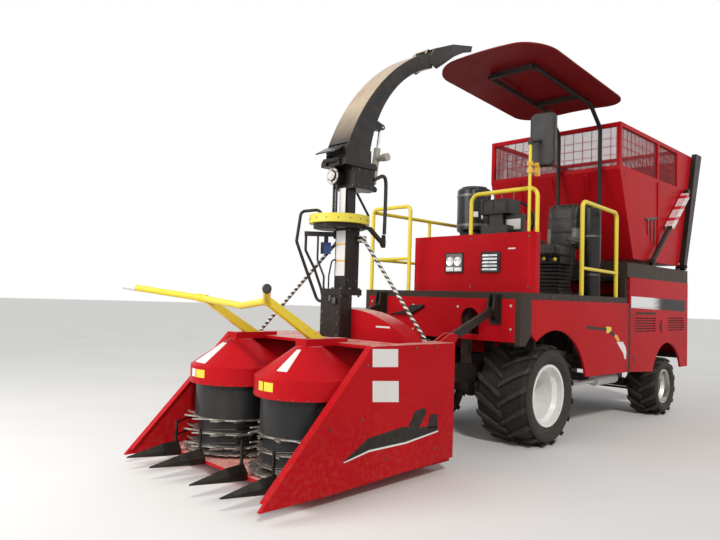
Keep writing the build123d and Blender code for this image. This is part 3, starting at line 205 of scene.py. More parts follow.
def vinyl(name, colour):
    """Arm pad cover: fine leather grain with a soft sheen."""
    look = Shader(name, colour, 0.42, Sheen_Weight=0.15)
    folds = look.noise(16, 4)
    look.rough(folds, 0.3, 0.7, 0.32, 0.55)
    return look.bumped(look.maths("ADD", look.cells(190), folds), 0.35, 0.0016)


def glass(name, colour=(0.95, 0.96, 0.97)):
    look = Shader(name, colour, 0.04, Transmission_Weight=0.92, IOR=1.48)
    return look.bumped(look.noise(30, 2, (1, 1, 6)), 0.15, 0.002)


def spout_finish():
    """Black duct with a streaked pale brown painted reflection on the faces of its outer curve that turn
    forward and up.
    """
    look = Shader("spout_black", (0.012, 0.01, 0.009), 0.3, Coat_Weight=0.1, Specular_IOR_Level=0.3)
    forward, upward = look.times(look.facing("X"), 0.75), look.times(look.facing("Z"), 0.66)
    outward = look.maths("ADD", forward, upward)
    rising = look.span(look.axis("Z"), 2.75, 3.15)
    # Painted reflection: faces turned forward and up, high on the duct, take a streaked pale brown.
    film = look.times(look.span(outward, 0.55, 0.75, 0.0, 0.85), rising)
    streaks = look.span(look.noise(5, 5, (1, 3, 1)), 0.2, 0.8)
    tan_reflection = look.mix(streaks, (0.46, 0.31, 0.2), (0.62, 0.52, 0.38))
    marks = look.mix(look.patches(11, 5, 0.4, 0.7), (0.012, 0.01, 0.009), (0.035, 0.028, 0.024))
    look.colour(film, marks, tan_reflection)
    look.rough(film, 0, 1, 0.28, 0.5)
    return look.grained(160, 3, 0.12, 0.0006)


def drum_finish():
    """Painted shell with bright worn rings: the rings are told apart by their height."""
    look = Shader("drum_finish", (0.012, 0.012, 0.013), 0.38, Specular_IOR_Level=0.3)
    bands = None
    for middle in (0.41, 0.3, 0.195, 0.154):
        near = look.maths("COMPARE", look.axis("Z"), middle, 0.0056)
        bands = near if bands is None else look.most(bands, near)
    steel_part = look.mix(look.patches(24, 6, 0.35, 0.7), (0.62, 0.58, 0.53), (0.3, 0.26, 0.22))
    streaks = look.span(look.noise(5, 5, (1, 1, 0.25)), 0.35, 0.75)
    paint = look.mix(streaks, (0.009, 0.01, 0.011), (0.028, 0.025, 0.023))
    look.colour(bands, paint, steel_part)
    look.into("Metallic", look.span(bands, 0, 1, 0.0, 0.85))
    look.rough(streaks, 0, 1, 0.3, 0.5)
    return look.grained(150, 4, 0.2, 0.0006)


def slanting(look, upright, along):
    """A sawtooth from 0 to 1 that climbs with z and with x."""
    climb, run = look.times(look.axis("Z"), upright), look.times(look.axis("X"), along)
    return look.maths("FRACT", look.maths("ADD", climb, run))


def spiral_wrap():
    """Black and white guard wound round a thin stay."""
    look = Shader("spiral_wrap", (0.8, 0.79, 0.76), 0.4, Coat_Weight=0.1)
    dark = look.span(slanting(look, 24.0, -11.0), 0.42, 0.46)
    pale = look.mix(look.patches(60, 4, 0.3, 0.7), (0.82, 0.8, 0.75), (0.55, 0.5, 0.42))
    look.colour(dark, pale, (0.035, 0.028, 0.024))
    return look.bumped(dark, 0.5, 0.002)


def safety_stripes():
    """White guard with slanting red stripes."""
    look = Shader("safety_stripes", (0.8, 0.78, 0.76), 0.4, Coat_Weight=0.15)
    band = look.span(slanting(look, 7.0, 1.2), 0.7, 0.72)
    rubbed = look.patches(34, 5, 0.42, 0.62)
    look.colour(band, look.mix(rubbed, (0.82, 0.79, 0.77), (0.66, 0.42, 0.4)), (0.55, 0.02, 0.03))
    return look.bumped(rubbed, 0.2, 0.001)


def fading_band():
    """Sticker that goes from white through dots to black towards the rear."""
    look = Shader("fading_band", (0.8, 0.8, 0.8), 0.4, Specular_IOR_Level=0.15)
    run = look.span(look.axis("X"), front_axle_x - 2.25, front_axle_x - 3.15)
    over = look.maths("SUBTRACT", look.times(run, 1.15), look.cells(62, 0.0))
    filled = look.span(over, -0.02, 0.04)
    rim = look.span(look.axis("Z"), 1.405, 1.408)
    look.colour(filled, look.mix(rim, (0.7, 0.62, 0.62), (0.8, 0.78, 0.8)), (0.018, 0.013, 0.015))
    return look.grained(120, 3, 0.1, 0.0005)


def column_finish():
    """Black casting paint with a blue valve body hung under the hose arm."""
    look = Shader("hose_and_valve", (0.022, 0.02, 0.02), 0.42, Specular_IOR_Level=0.3)
    inside = None
    near, far = front_axle_x + 1.98, front_axle_x + 2.1
    for letter, low, high in (("Z", 1.79, 1.895), ("Y", -0.21, -0.07), ("X", near, far)):
        for edge, sign in ((low, 1), (high, -1)):
            test = look.span(look.axis(letter), edge - 0.0005 * sign, edge + 0.0005 * sign)
            inside = test if inside is None else look.times(inside, test)
    grime = look.patches(40, 5, 0.4, 0.7)
    black_part = look.mix(grime, (0.012, 0.01, 0.01), (0.035, 0.029, 0.025))
    look.colour(inside, black_part, look.mix(grime, (0.015, 0.05, 0.2), (0.03, 0.04, 0.08)))
    look.rough(grime, 0, 1, 0.34, 0.6)
    return look.grained(130, 4, 0.25, 0.0008)


def seat_finish():
    """Glossy dark vinyl with grey panels on the bolsters; the panels are partly grey covers and partly a
    painted reflection on the seat's sides.
    """
    look = Shader("seat_cover", (0.022, 0.018, 0.015), 0.28, Sheen_Weight=0.05, Specular_IOR_Level=0.35)
    side = look.maths("ABSOLUTE", look.maths("SUBTRACT", look.axis("Y"), seat_y))
    bolster = look.times(look.span(side, 0.132, 0.136), look.span(look.axis("Z"), 2.12, 2.13))
    # Grey bolster panels: partly grey covers, partly a painted reflection on the seat's sides.
    grey_panel_and_reflection = look.times(bolster, look.span(look.axis("Z"), 2.3, 2.31, 1.0, 0.0))
    dark = look.mix(look.patches(18, 5, 0.4, 0.7), (0.02, 0.016, 0.013), (0.04, 0.034, 0.028))
    look.colour(grey_panel_and_reflection, dark, (0.19, 0.195, 0.18))
    look.into("Roughness", look.patches(14, 4, 0.3, 0.7, 0.22, 0.42))
    return look.bumped(look.cells(210), 0.25, 0.0012)


def checker_plate():
    """Raised tread on the deck, in black paint with grey-brown dust."""
    look = Shader("tread_plate", (0.035, 0.03, 0.027), 0.5)
    inputs = {"Scale": 14, "Distortion": 0, "Vector": look.place}
    checks = look.add("ShaderNodeTexWave", inputs, wave_type="BANDS", bands_direction="DIAGONAL")["Fac"]
    look.colour(look.patches(11, 6, 0.35, 0.7), (0.03, 0.026, 0.024), (0.14, 0.11, 0.085))
    return look.bumped(look.span(checks, 0.55, 0.75), 0.6, 0.003)


red = painted("red_gloss", (0.46, 0.005, 0.01), 0.36, 0.02, amount=0.12, pale_tops=0.8, gleam=0.05)
beam_brown = painted("beam_brown", (0.042, 0.027, 0.02), 0.5, 0.0, gleam=0.15)
# Darker copy of the red paint for the canopy: painted shade for its underside.
shaded_canopy_red = painted("shaded_canopy_red", (0.17, 0.002, 0.003), 0.5, 0.0, gleam=0.2)
wire_red = painted("wire_red", (0.2, 0.012, 0.016), roughness=0.4, coat=0.1)
black = painted("black_gloss", (0.015, 0.011, 0.009), 0.45, 0.03, (0.1, 0.07, 0.05), 2.4, 0.35, gleam=0.22)
duct_black = painted("duct_black", (0.012, 0.01, 0.009), 0.3, 0.1, (0.12, 0.09, 0.07), gleam=0.3)
yellow = painted("yellow_gloss", (0.8, 0.62, 0.03), roughness=0.32)
pale_yellow = painted("pale_yellow_gloss", (0.72, 0.62, 0.06), roughness=0.4, coat=0.1)
orange = painted("orange_gloss", (0.62, 0.15, 0.01))
amber = painted("amber_gloss", (0.76, 0.42, 0.03))
white = painted("white_gloss", (0.78, 0.77, 0.74), roughness=0.35, dust_top=1.1)
white_decal = painted("white_decal", (0.74, 0.72, 0.7), roughness=0.4, coat=0.08, dust_top=1.2)
off_white = painted("actuator_grey", (0.44, 0.4, 0.34), roughness=0.45, coat=0.05, dust_top=3.2)
rim_white = painted("rim_white", (0.78, 0.77, 0.75), roughness=0.28, dust=(0.42, 0.33, 0.24))
rim_silver = bare_metal("rim_silver", (0.66, 0.65, 0.62), 0.3, (30, 30, 30))
steel = bare_metal("bare_steel", (0.56, 0.53, 0.49))
dark_steel = bare_metal("dark_steel", (0.16, 0.145, 0.13), 0.38)
point_steel = bare_metal("point_steel", (0.055, 0.05, 0.046), 0.3)
chrome = bare_metal("chrome", (0.86, 0.87, 0.88), 0.12)
mirror_glass = bare_metal("mirror_glass", (0.72, 0.74, 0.76), 0.06)
front_rubber = rubber("front_rubber", 0.0, 0.499, 0.462, 0.494)
rear_rubber = rubber("rear_rubber", -2.98, 0.375, 0.345, 0.371)
hose_rubber = plastic("hose_rubber", (0.014, 0.013, 0.013), 0.45)
moulding = plastic("black_moulding", (0.018, 0.015, 0.013), 0.4, 0.3)
grille_finish = plastic("grille_black", (0.01, 0.009, 0.009), 0.6)
seat_cover, arm_cover = seat_finish(), vinyl("seat_vinyl", (0.032, 0.029, 0.024))
red_lens, amber_lens = glass("red_lens", (0.6, 0.02, 0.02)), glass("amber_lens", (0.85, 0.33, 0.02))
stripes, band_sticker, tread = safety_stripes(), fading_band(), checker_plate()

# Finish of each node of the part
node_finishes = (
    (red, "front_panel bulkhead side_panels rear_panel hopper hopper_screen hopper_gate header_side_panels "
          "header_frame drum_hoods chopper_housing"),
    (shaded_canopy_red, "canopy"),
    (beam_brown, "body_posts platform hopper_support"),
    (black, "chassis_frame front_axle rear_axle engine hopper_posts canopy_frame knuckle_left knuckle_right "
            "tie_rod lift_arms upper_links lift_barrels spout_column tilt_rods tilt_barrels"),
    (duct_black, "turret oil_tank air_cleaner"),
    (spout_finish(), "spout_duct spout_flap"),
    (yellow, "handrails side_rails push_bar"),
    (pale_yellow, "slew_ring"),
    (rim_white, "front_rim_left front_rim_right"),
    (rim_silver, "rear_rim_left rear_rim_right"),
    (front_rubber, "front_tyre_left front_tyre_right"),
    (rear_rubber, "rear_tyre_left rear_tyre_right"),
    (drum_finish(), "drum_left drum_right"),
    (point_steel, "divider_points"),
    (chrome, "lift_rods spout_rod"),
    (off_white, "spout_barrel"),
    (spiral_wrap(), "column_stays"),
    (column_finish(), "column_hoses"),
    (white, "muffler"),
    (moulding, "mirror console seat"),
    (glass("clear_glass"), "head_lamps"),
)
for finish, names in node_finishes:
    for name in names.split():
        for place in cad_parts[name].material_slots:
            place.material = finish

# Slot that a piece of each finish belongs to, unless its call names another
slot_finishes = {
    "red_paint": (red, wire_red),
    "black_paint": (black, grille_finish),
    "yellow_paint": (yellow, amber, orange),
    "white_paint": (white, white_decal, rim_white, rim_silver, band_sticker, stripes),
    "grey_metal": (steel, dark_steel),
    "chrome_rod": (chrome, mirror_glass),
    "lamp_glass": (red_lens, amber_lens),
    "tyre_rubber": (front_rubber, rear_rubber),
    "black_plastic": (moulding, hose_rubber, seat_cover, arm_cover, tread),
}
usual_slot = {finish.name: slot for slot, finishes in slot_finishes.items() for finish in finishes}


# Shapes
def circle(count, first=0.0):
    """Cosine and sine of evenly spaced angles, from first degrees on."""
    angles = [math.radians(first + 360 * i / count) for i in range(count)]
    return [(math.cos(angle), math.sin(angle)) for angle in angles]


def towards(direction):
    """The turn that brings Z to a direction."""
    return Vector(direction).normalized().to_track_quat("Z", "Y").to_matrix()


class Form:
    """A mesh that is being built. Each method adds shapes of one kind."""

    def __init__(self):
        self.mesh = bmesh.new()
        self.point = self.mesh.verts.new
        self.face = self.mesh.faces.new

    def skin(self, rings, ends=False):
        """Faces between closed rows of points, and over both ends."""
        for first, second in zip(rings, rings[1:]):
            for i in range(len(first)):
                j = (i + 1) % len(first)
                corners = list(dict.fromkeys((first[i], first[j], second[j], second[i])))
                if len(corners) > 2:
                    self.face(corners)
        if ends:
            self.face(rings[0][::-1])
            self.face(rings[-1])

    def box(self, low, high, turn=None, centre=None):
        """A box between two corners, turned about a centre where one is given."""
        low, high = Vector(low), Vector(high)
        points = [Vector((x, y, z)) for x in (low.x, high.x) for y in (low.y, high.y) for z in (low.z,
                                                                                                high.z)]
        if turn is not None:
            points = [turn @ (point - centre) + centre for point in points]
        corners = [self.point(point) for point in points]
        for face in ((0, 1, 3, 2), (4, 6, 7, 5), (0, 4, 5, 1), (2, 3, 7, 6), (0, 2, 6, 4), (1, 5, 7, 3)):
            self.face([corners[i] for i in face])

    def boxes(self, *corners):
        for low, high in corners:
            self.box(low, high)

    def box_pairs(self, *corners):
        """Boxes at +y and their mirror images at -y."""
        for low, high in corners:
            self.box(low, high)
            self.box((low[0], -high[1], low[2]), (high[0], -low[1], high[2]))

    def lathe(self, centre, direction, profile, around=32):
        """A closed profile of (radius, height) turned about an axis; a radius of 0 is a point on it."""
        turn, centre = towards(direction), Vector(centre)
        rings = []
        for radius, height in profile:
            if radius:
                places = [Vector((radius * c, radius * s, height)) for c, s in circle(around)]
                rings.append([self.point(centre + turn @ place) for place in places])
            else:
                rings.append([self.point(centre + turn @ Vector((0, 0, height)))] * around)
        if profile[0][0]:
            rings.append(rings[0])
        self.skin(rings)

    def bar(self, start, end, radius, sides=8, end_radius=None):
        """A round bar, or a cone where end_radius differs."""
        start, end = Vector(start), Vector(end)
        turn = towards(end - start)
        rings = []
        for middle, size in ((start, radius), (end, radius if end_radius is None else end_radius)):
            places = [Vector((size * c, size * s, 0)) for c, s in circle(sides)]
            rings.append([self.point(middle + turn @ place) for place in places])
        self.skin(rings, ends=True)

    def bolt(self, place, direction, size, washer=True):
        """A hexagon head on a washer, its axis along direction."""
        place, along = Vector(place), Vector(direction).normalized() * size
        if washer:
            self.bar(place, place + along * 0.16, size * 0.95, 12)
            place = place + along * 0.16
        self.bar(place, place + along * 0.52, size * 0.62, 6)
        self.bar(place + along * 0.52, place + along * 0.6, size * 0.55, 6, size * 0.42)

    def bolts(self, direction, size, *places):
        for place in places:
            self.bolt(place, direction, size)

    def side_bolts(self, y, size, *places):
        """Bolts at the given x and z on the faces at +y and -y."""
        for x, z in places:
            self.bolt((x, y, z), (0, 1, 0), size)
            self.bolt((x, -y, z), (0, -1, 0), size)

    def prism(self, outline, low, high, flat="xz"):
        """An outline in x and z or in y and z, from low to high along the third axis."""
        rings = []
        for third in (low, high):
            places = [(a, third, b) if flat == "xz" else (third, a, b) for a, b in outline]
            rings.append([self.point(place) for place in places])
        self.skin(rings, ends=True)

    def side_prisms(self, outlines, face, lift=decal):
        """Outlines in x and z laid on the outer faces at +y and -y."""
        for outline in outlines:
            self.prism(outline, face, face + lift)
            self.prism(outline, -face - lift, -face)

    def patch(self, centre, lower, upper, start, stop, steps=8):
        """A thin plate on an upright cone, between two (radius, z) and two azimuths in degrees."""
        slope = Vector((upper[0] - lower[0], upper[1] - lower[1])).normalized()
        angles = [math.radians(start + (stop - start) * i / steps) for i in range(steps + 1)]
        rings = []
        for (radius, z), height in ((lower, 0.0), (upper, 0.0), (upper, decal), (lower, decal)):
            r = radius + slope[1] * height
            level = z - slope[0] * height
            rings.append([self.point((centre[0] + r * math.cos(a), centre[1] + r * math.sin(a), level))
                          for a in angles])
        self.skin(list(zip(*rings)), ends=True)


def shown(name, data):
    """A new object in the scene."""
    thing = bpy.data.objects.new(name, data)
    bpy.context.scene.collection.objects.link(thing)
    return thing


def made(name, builder, material, body="chassis", slot=None, smooth=False, bevel=0.0, segments=2):
    """A finished piece: built, given its material, and fixed to a body."""
    form, mesh = Form(), bpy.data.meshes.new(name)
    builder(form)
    bmesh.ops.translate(form.mesh, vec=(front_axle_x, 0, 0), verts=form.mesh.verts)
    bmesh.ops.recalc_face_normals(form.mesh, faces=form.mesh.faces)
    form.mesh.to_mesh(mesh)
    form.mesh.free()
    mesh.materials.append(material)
    piece = shown(name, mesh)
    if bevel:
        rounding = piece.modifiers.new("edges", "BEVEL")
        rounding.width = bevel
        rounding.segments = segments
        rounding.limit_method = "ANGLE"
    if smooth:
        for polygon in mesh.polygons:
            polygon.use_smooth = True
    slot = slot or usual_slot[material.name]
    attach(piece, body)
    return piece


def one(shape, *values, **settings):
    """A builder that adds one shape."""
    return lambda form: shape(form, *values, **settings)


def strut_hose(name, points, radius, body):
    """A bent pipe along a smooth line."""
    curve = bpy.data.curves.new(name, "CURVE")
    curve.dimensions = "3D"
    spline = curve.splines.new("NURBS")
    spline.points.add(len(points) - 1)
    for point, (x, y, z) in zip(spline.points, points):
        point.co = (x + front_axle_x, y, z, 1)
    spline.order_u = 3
    spline.use_endpoint_u = True
    curve.resolution_u = 8
    curve.bevel_depth = radius
    curve.bevel_resolution = 4
    curve.use_fill_caps = True
    curve.materials.append(hose_rubber)
    piece = shown(name, curve)
    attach(piece, body)


# Wheels
# name, centre x, centre z, disc face, hub face, circle of nuts, nuts, nut size, cap radius,
# wall rings (radius, y), paint of the cap, rubber of the rings
wheels = (
    ("front", 0.0, 0.499, 0.606, 0.652, 0.12, 8, 0.021, 0.046, ((0.355, 0.953), (0.425, 0.957)),
     rim_white, front_rubber),
    ("rear", -2.98, 0.375, 0.746, 0.792, 0.076, 6, 0.017, 0.034, ((0.262, 0.974), (0.312, 0.9755)),
     rim_silver, rear_rubber),
)


def wheel_details():
    for name, x, z, disc, hub, nut_circle, count, size, cap, rings, paint, tyre in wheels:
        for side, sign in (("left", 1), ("right", -1)):
            body, out = f"{name}_wheel_{side}", Vector((0, sign, 0))

            def at(y):
                return Vector((x, sign * y, z))

            def nuts(form):
                for c, s in circle(count, 22):
                    place = at(disc) + Vector((c, 0, s)) * nut_circle
                    form.bolt(place, out, size)
                    form.bar(place, place + out * size * 0.95, size * 0.3)

            def hub_cap(form):
                form.bar(at(hub), at(hub + 0.012), cap, 32, cap * 0.93)
                form.bar(at(hub + 0.012), at(hub + 0.034), cap * 0.62, 32, cap * 0.5)
                for c, s in circle(8):
                    form.bolt(at(hub) + Vector((c, 0, s)) * cap * 1.32, out, size * 0.42, washer=False)

            def wall_rings(form):
                for radius, y in rings:
                    section = [(radius + 0.0042 * c, 0.0042 * s) for c, s in circle(6)]
                    form.lathe(at(y - 0.0015), (0, 1, 0), section, 96)

            def valve(form):
                foot = Vector((nut_circle * 1.72, 0, 0))
                for low, high, radius in ((-0.004, 0.03, 0.006), (0.03, 0.045, 0.008)):
                    form.bar(at(disc + low) + foot, at(disc + high) + foot, radius)

            made(f"{name}_nuts_{side}", nuts, steel, body)
            made(f"{name}_hub_cap_{side}", hub_cap, paint, body)
            made(f"{name}_wall_rings_{side}", wall_rings, tyre, body, smooth=True)
            made(f"{name}_valve_{side}", valve, hose_rubber, body)


def rear_rim_slots():
    """Five dark hand holes round each rear rim."""
    x, z, face = -2.98, 0.375, 0.762
    inner, outer, width = 0.142, 0.159, 22
    outlines = []
    for middle in range(18, 360, 72):
        arc = [math.radians(middle - width + 2 * width * k / 8) for k in range(9)]
        near = [(x + inner * math.cos(a), z + inner * math.sin(a)) for a in arc]
        far = [(x + outer * math.cos(a), z + outer * math.sin(a)) for a in reversed(arc)]
        outlines.append(near + far)
    for side, low in (("left", face), ("right", -face - decal)):
        def slots(form):
            for outline in outlines:
                form.prism(outline, low, low + decal)

        made(f"rear_rim_slots_{side}", slots, black, f"rear_wheel_{side}")


# Body sides
dark_marks = (
    [(-0.655, 1.188), (-1.14, 1.158), (-1.15, 1.128), (-0.66, 1.156)],
    [(-1.262, 1.13), (-1.365, 1.09), (-1.345, 1.058), (-1.215, 1.098)],
)
yellow_mark = [(-1.137, 1.175), (-1.262, 1.168), (-1.28, 1.112), (-1.15, 1.1)]
amber_mark = [(-1.37, 1.088), (-1.435, 1.07), (-1.5, 1.008), (-1.44, 1.004), (-1.36, 1.055)]
white_mark = [(-1.415, 1.0), (-1.585, 0.994), (-1.655, 0.937), (-1.688, 0.872), (-1.672, 0.79),
              (-1.64, 0.79), (-1.6, 0.86), (-1.51, 0.925)]
side_band = [(-1.81, 1.528), (-3.62, 1.512), (-3.62, 1.356), (-1.81, 1.391)]


def side_marks():
    for name, outlines, finish in (
            ("side_marks_dark", dark_marks, black), ("side_marks_yellow", (yellow_mark,), yellow),
            ("side_marks_amber", (amber_mark,), amber), ("side_marks_white", (white_mark,), white),
            ("side_band", (side_band,), band_sticker)):
        made(name, one(Form.side_prisms, outlines, body_side), finish)


def side_fittings():
    backings = [((x0, 0.955, 1.08), (x1, 0.9705, 1.31)) for x0, x1 in ((-2.6, -1.9), (-3.6, -2.98))]
    made("vent_backing", one(Form.box_pairs, *backings), grille_finish)
    slats = []
    for i in range(17):
        x = -2.585 + 0.037 * i
        slats.append([(x, 1.313), (x + 0.027, 1.313), (x + 0.034, 1.341), (x + 0.007, 1.341)])
    made("vent_louvres", one(Form.side_prisms, slats, body_side, 0.003), black)
    strips = [((x, body_side, 0.625), (x + 0.022, body_side + 0.002, 1.44)) for x in (-1.79, -1.76)]
    made("panel_split_strips", one(Form.box_pairs, *strips), black)
    places = (-2.75, 0.985, 1.16), (-1.9, body_side, 0.78), (-3.62, body_side, 1.16)
    latches = [((x - 0.016, y, z - 0.045), (x + 0.016, 0.9985, z + 0.045)) for x, y, z in places]
    made("panel_latches", one(Form.box_pairs, *latches), moulding, bevel=0.003)

    def side_bolts(form):
        form.side_bolts(body_side, 0.013, *[(0.36 - 0.29 * i, 1.474) for i in range(8)])
        edges = (-1.7, 0.7), (-1.7, 1.36), (-1.84, 0.7), (-1.84, 1.3), (-3.66, 0.7), (-3.66, 1.3)
        form.side_bolts(body_side, 0.012, *edges)
        form.side_bolts(0.97, 0.015, *[(-1.75, z) for z in (1.58, 1.7, 1.82)])

    made("side_bolts", side_bolts, dark_steel)
    plate = (0.345, 0.66, 0.975), (0.357, 0.972, 1.435)
    made("wheel_house_plates", one(Form.box_pairs, plate), black, bevel=0.002)


# Header
side_plates = (
    [(2.533, 1.048), (2.26, 1.038), (2.255, 0.905), (2.528, 0.919)],
    [(2.524, 0.82), (2.244, 0.8), (2.237, 0.644), (2.517, 0.67)],
)
stripes_dark = (
    [(2.79, 0.287), (2.556, 0.417), (2.182, 0.454), (1.931, 0.423), (1.765, 0.408), (1.755, 0.377),
     (2.142, 0.338), (2.538, 0.334)],
    [(2.12, 0.45), (2.04, 0.56), (1.93, 0.572), (1.905, 0.53), (1.99, 0.43)],
    [(1.89, 0.412), (1.858, 0.512), (1.765, 0.508), (1.762, 0.4)],
)
stripe_edge = [(2.79, 0.287), (2.538, 0.334), (2.142, 0.338), (1.755, 0.377), (1.755, 0.365), (2.142, 0.324),
               (2.538, 0.32), (2.78, 0.28)]


def header_marks():
    made("header_plates", one(Form.side_prisms, side_plates, panel_face), white_decal, "header")
    made("header_stripe", one(Form.side_prisms, stripes_dark, panel_face), black, "header")
    edge = one(Form.side_prisms, (stripe_edge,), panel_face, decal * 1.5)
    made("header_stripe_edge", edge, white_decal, "header")
    places = ((1.8, 1.04), (2.05, 1.04), (2.58, 0.93), (2.92, 0.52), (1.8, 0.6), (2.35, 0.24), (1.8, 0.24),
              (2.62, 0.56))
    made("header_bolts", one(Form.side_bolts, panel_face, 0.011, *places), dark_steel, "header")


def hood_marks():
    """Blank plates round the skirts and on the cones of both drum hoods."""
    (rim, rim_z), (neck, neck_z) = hood_rim, hood_neck
    low, high = (rim, 0.737), (rim, 0.8)

    def on_cone(radius):
        return radius, rim_z + (neck_z - rim_z) * (rim - radius) / (rim - neck)

    def yellow_plates(form):
        for y, start, stop in ((-drum_y, -2, 13), (drum_y, -11, -3), (drum_y, -1, 12)):
            form.patch((drum_x, y), low, high, start, stop)

    def white_plates(form):
        form.patch((drum_x, -drum_y), low, high, -14, -4)
        form.patch((drum_x, -drum_y), on_cone(0.37), on_cone(0.15), -20, 8)
        form.patch((drum_x, drum_y), on_cone(0.33), on_cone(0.13), 6, 22)

    def rim_bolts(form):
        for y in (-drum_y, drum_y):
            for c, s in circle(24, 5):
                out = Vector((c, s, 0))
                place = Vector((drum_x, y, 0.694)) + out * rim
                if 0.03 < abs(place.y) < panel_face - 0.01 and place.x > 2.45:
                    form.bolt(place, out, 0.008, washer=False)

    made("hood_plates_yellow", yellow_plates, yellow, "header")
    made("hood_plates_white", white_plates, white_decal, "header")
    made("hood_bolts", rim_bolts, dark_steel, "header")
    mark = one(Form.box, (1.95, 0.4, 1.167), (1.95 + decal, 0.56, 1.181))
    made("chopper_mark", mark, white_decal, "header")


def column_marks():
    face, half = 2.01, 0.058
    front = face + decal
    label = one(Form.box, (face, -half, 1.6), (front, half, 1.998))
    made("column_label", label, white_decal, "header")
    bands = [((front, -half, z - 0.007), (front + decal, half, z + 0.007)) for z in (1.877, 1.732)]
    made("column_label_bands", one(Form.boxes, *bands), amber, "header")
    latches = ((2.089, -0.03, 1.372), (2.112, 0.0, 1.425)), ((2.089, 0.02, 1.352), (2.118, 0.062, 1.408))
    made("column_latches", one(Form.boxes, *latches), dark_steel, "header", bevel=0.005)

    def fasteners(form):
        front, rear = [(2.082, y) for y in (-0.125, -0.012, 0.098)], [(1.868, 0.098), (1.868, -0.125)]
        for x, y in (*front, *rear, (1.975, 0.098)):
            form.bolt((x, y, 1.484), (0, 0, 1), 0.017)
            form.bar((x, y, 1.43), (x, y, 1.415), 0.011, 6)
        form.bolts((1, 0, 0), 0.012, *[(2.09, y, z) for z in (1.08, 1.18, 1.28) for y in (-0.12, 0.07)])
        form.bolts((0, 1, 0), 0.011, *[(x, 0.07, z) for z in (1.56, 2.004) for x in (1.88, 1.98)])

    made("column_bolts", fasteners, dark_steel, "header")

    def ring_bolts(form):
        for c, s in circle(16):
            out = Vector((c, s, 0))
            form.bolt(Vector((1.985, -0.054, 2.092)) + out * 0.2695, out, 0.009, washer=False)

    made("ring_bolts", ring_bolts, dark_steel, "header")


def push_bar_ends():
    """A white sleeve on the push bar's far tip, a dark cap on the near one, and clamps at both bends."""
    bend, tip = Vector((3.105, 0.42, 1.368)), Vector((3.516, 0.973, 1.45))
    along = (tip - bend).normalized()
    mirrored = Vector((1, -1, 1))

    def sleeve(form):
        form.bar((tip - along * 0.11) * mirrored, (tip + along * 0.002) * mirrored, 0.0275, 28)

    def cap(form):
        form.bar(tip - along * 0.035, tip + along * 0.006, 0.0285, 28)
        form.bar(tip + along * 0.006, tip + along * 0.014, 0.0285, 28, 0.02)

    def clamps(form):
        for side in (Vector((1, 1, 1)), mirrored):
            form.bar((bend - along * 0.03) * side, (bend + along * 0.05) * side, 0.033, 24)
        form.side_bolts(0.445, 0.013, (2.66, 1.14), (2.74, 1.17))

    made("push_bar_sleeve", sleeve, white_decal, "header")
    made("push_bar_cap", cap, hose_rubber, "header")
    made("push_bar_clamps", clamps, yellow, "header", bevel=0.003)


strut_line = [(1.76, 0.136, 2.47), (1.7, 0.14, 2.5), (1.64, 0.14, 2.53), (1.6, 0.14, 2.5),
              (1.598, 0.14, 2.36), (1.6, 0.14, 2.16), (1.603, 0.14, 1.995)]
strut_rest = [(1.87, 2.015), (1.8, 2.015), (1.745, 1.975), (1.64, 1.905), (1.622, 1.872), (1.59, 1.872),
              (1.585, 1.915), (1.592, 1.99), (1.614, 1.99), (1.628, 1.942), (1.7, 1.99), (1.775, 2.045),
              (1.87, 2.045)]


def turret_fittings():
    """Motor face, covers and bolts of the turret, and the bent strut beside it with its rest."""
    forward, middle = (1, 0, 0), (-0.055, 2.48)

    def fasteners(form):
        form.bolts(forward, 0.013, *[(2.0, y, z) for y in (-0.12, 0.12) for z in (2.39, 2.54)])
        form.side_bolts(0.14, 0.012, *[(x, z) for x in (1.79, 1.87, 1.95) for z in (2.395, 2.535)])
        y, z = middle
        form.bolts(forward, 0.011, *[(2.085, y + 0.058 * c, z + 0.058 * s) for c, s in circle(6, 30)])

    def motor_face(form):
        form.lathe((2.1, *middle), forward, [(0, 0), (0.043, 0), (0.04, 0.004), (0, 0.004)], 28)
        form.lathe((2.085, *middle), forward, [(0.049, 0), (0.074, 0), (0.072, 0.003), (0.051, 0.003)])

    made("turret_bolts", fasteners, dark_steel, "turret")
    made("turret_motor_face", motor_face, steel, "turret")
    covers = ((2.02, -0.118, 2.15), (2.026, -0.046, 2.372)), ((2.02, -0.02, 2.15), (2.026, 0.056, 2.372))
    made("turret_covers", one(Form.boxes, *covers), white_decal, "turret", bevel=0.002)
    made("turret_brace", one(Form.bar, (1.885, 0.058, 2.34), (1.8, 0.13, 2.138), 0.011), black, "turret")
    strut_hose("turret_strut", strut_line, 0.017, "turret")
    made("strut_rest", one(Form.prism, strut_rest, 0.118, 0.15), black, "header", bevel=0.006)
    made("strut_rest_arm", one(Form.box, (1.82, 0.02, 2.018), (1.87, 0.13, 2.045)), black, "header")


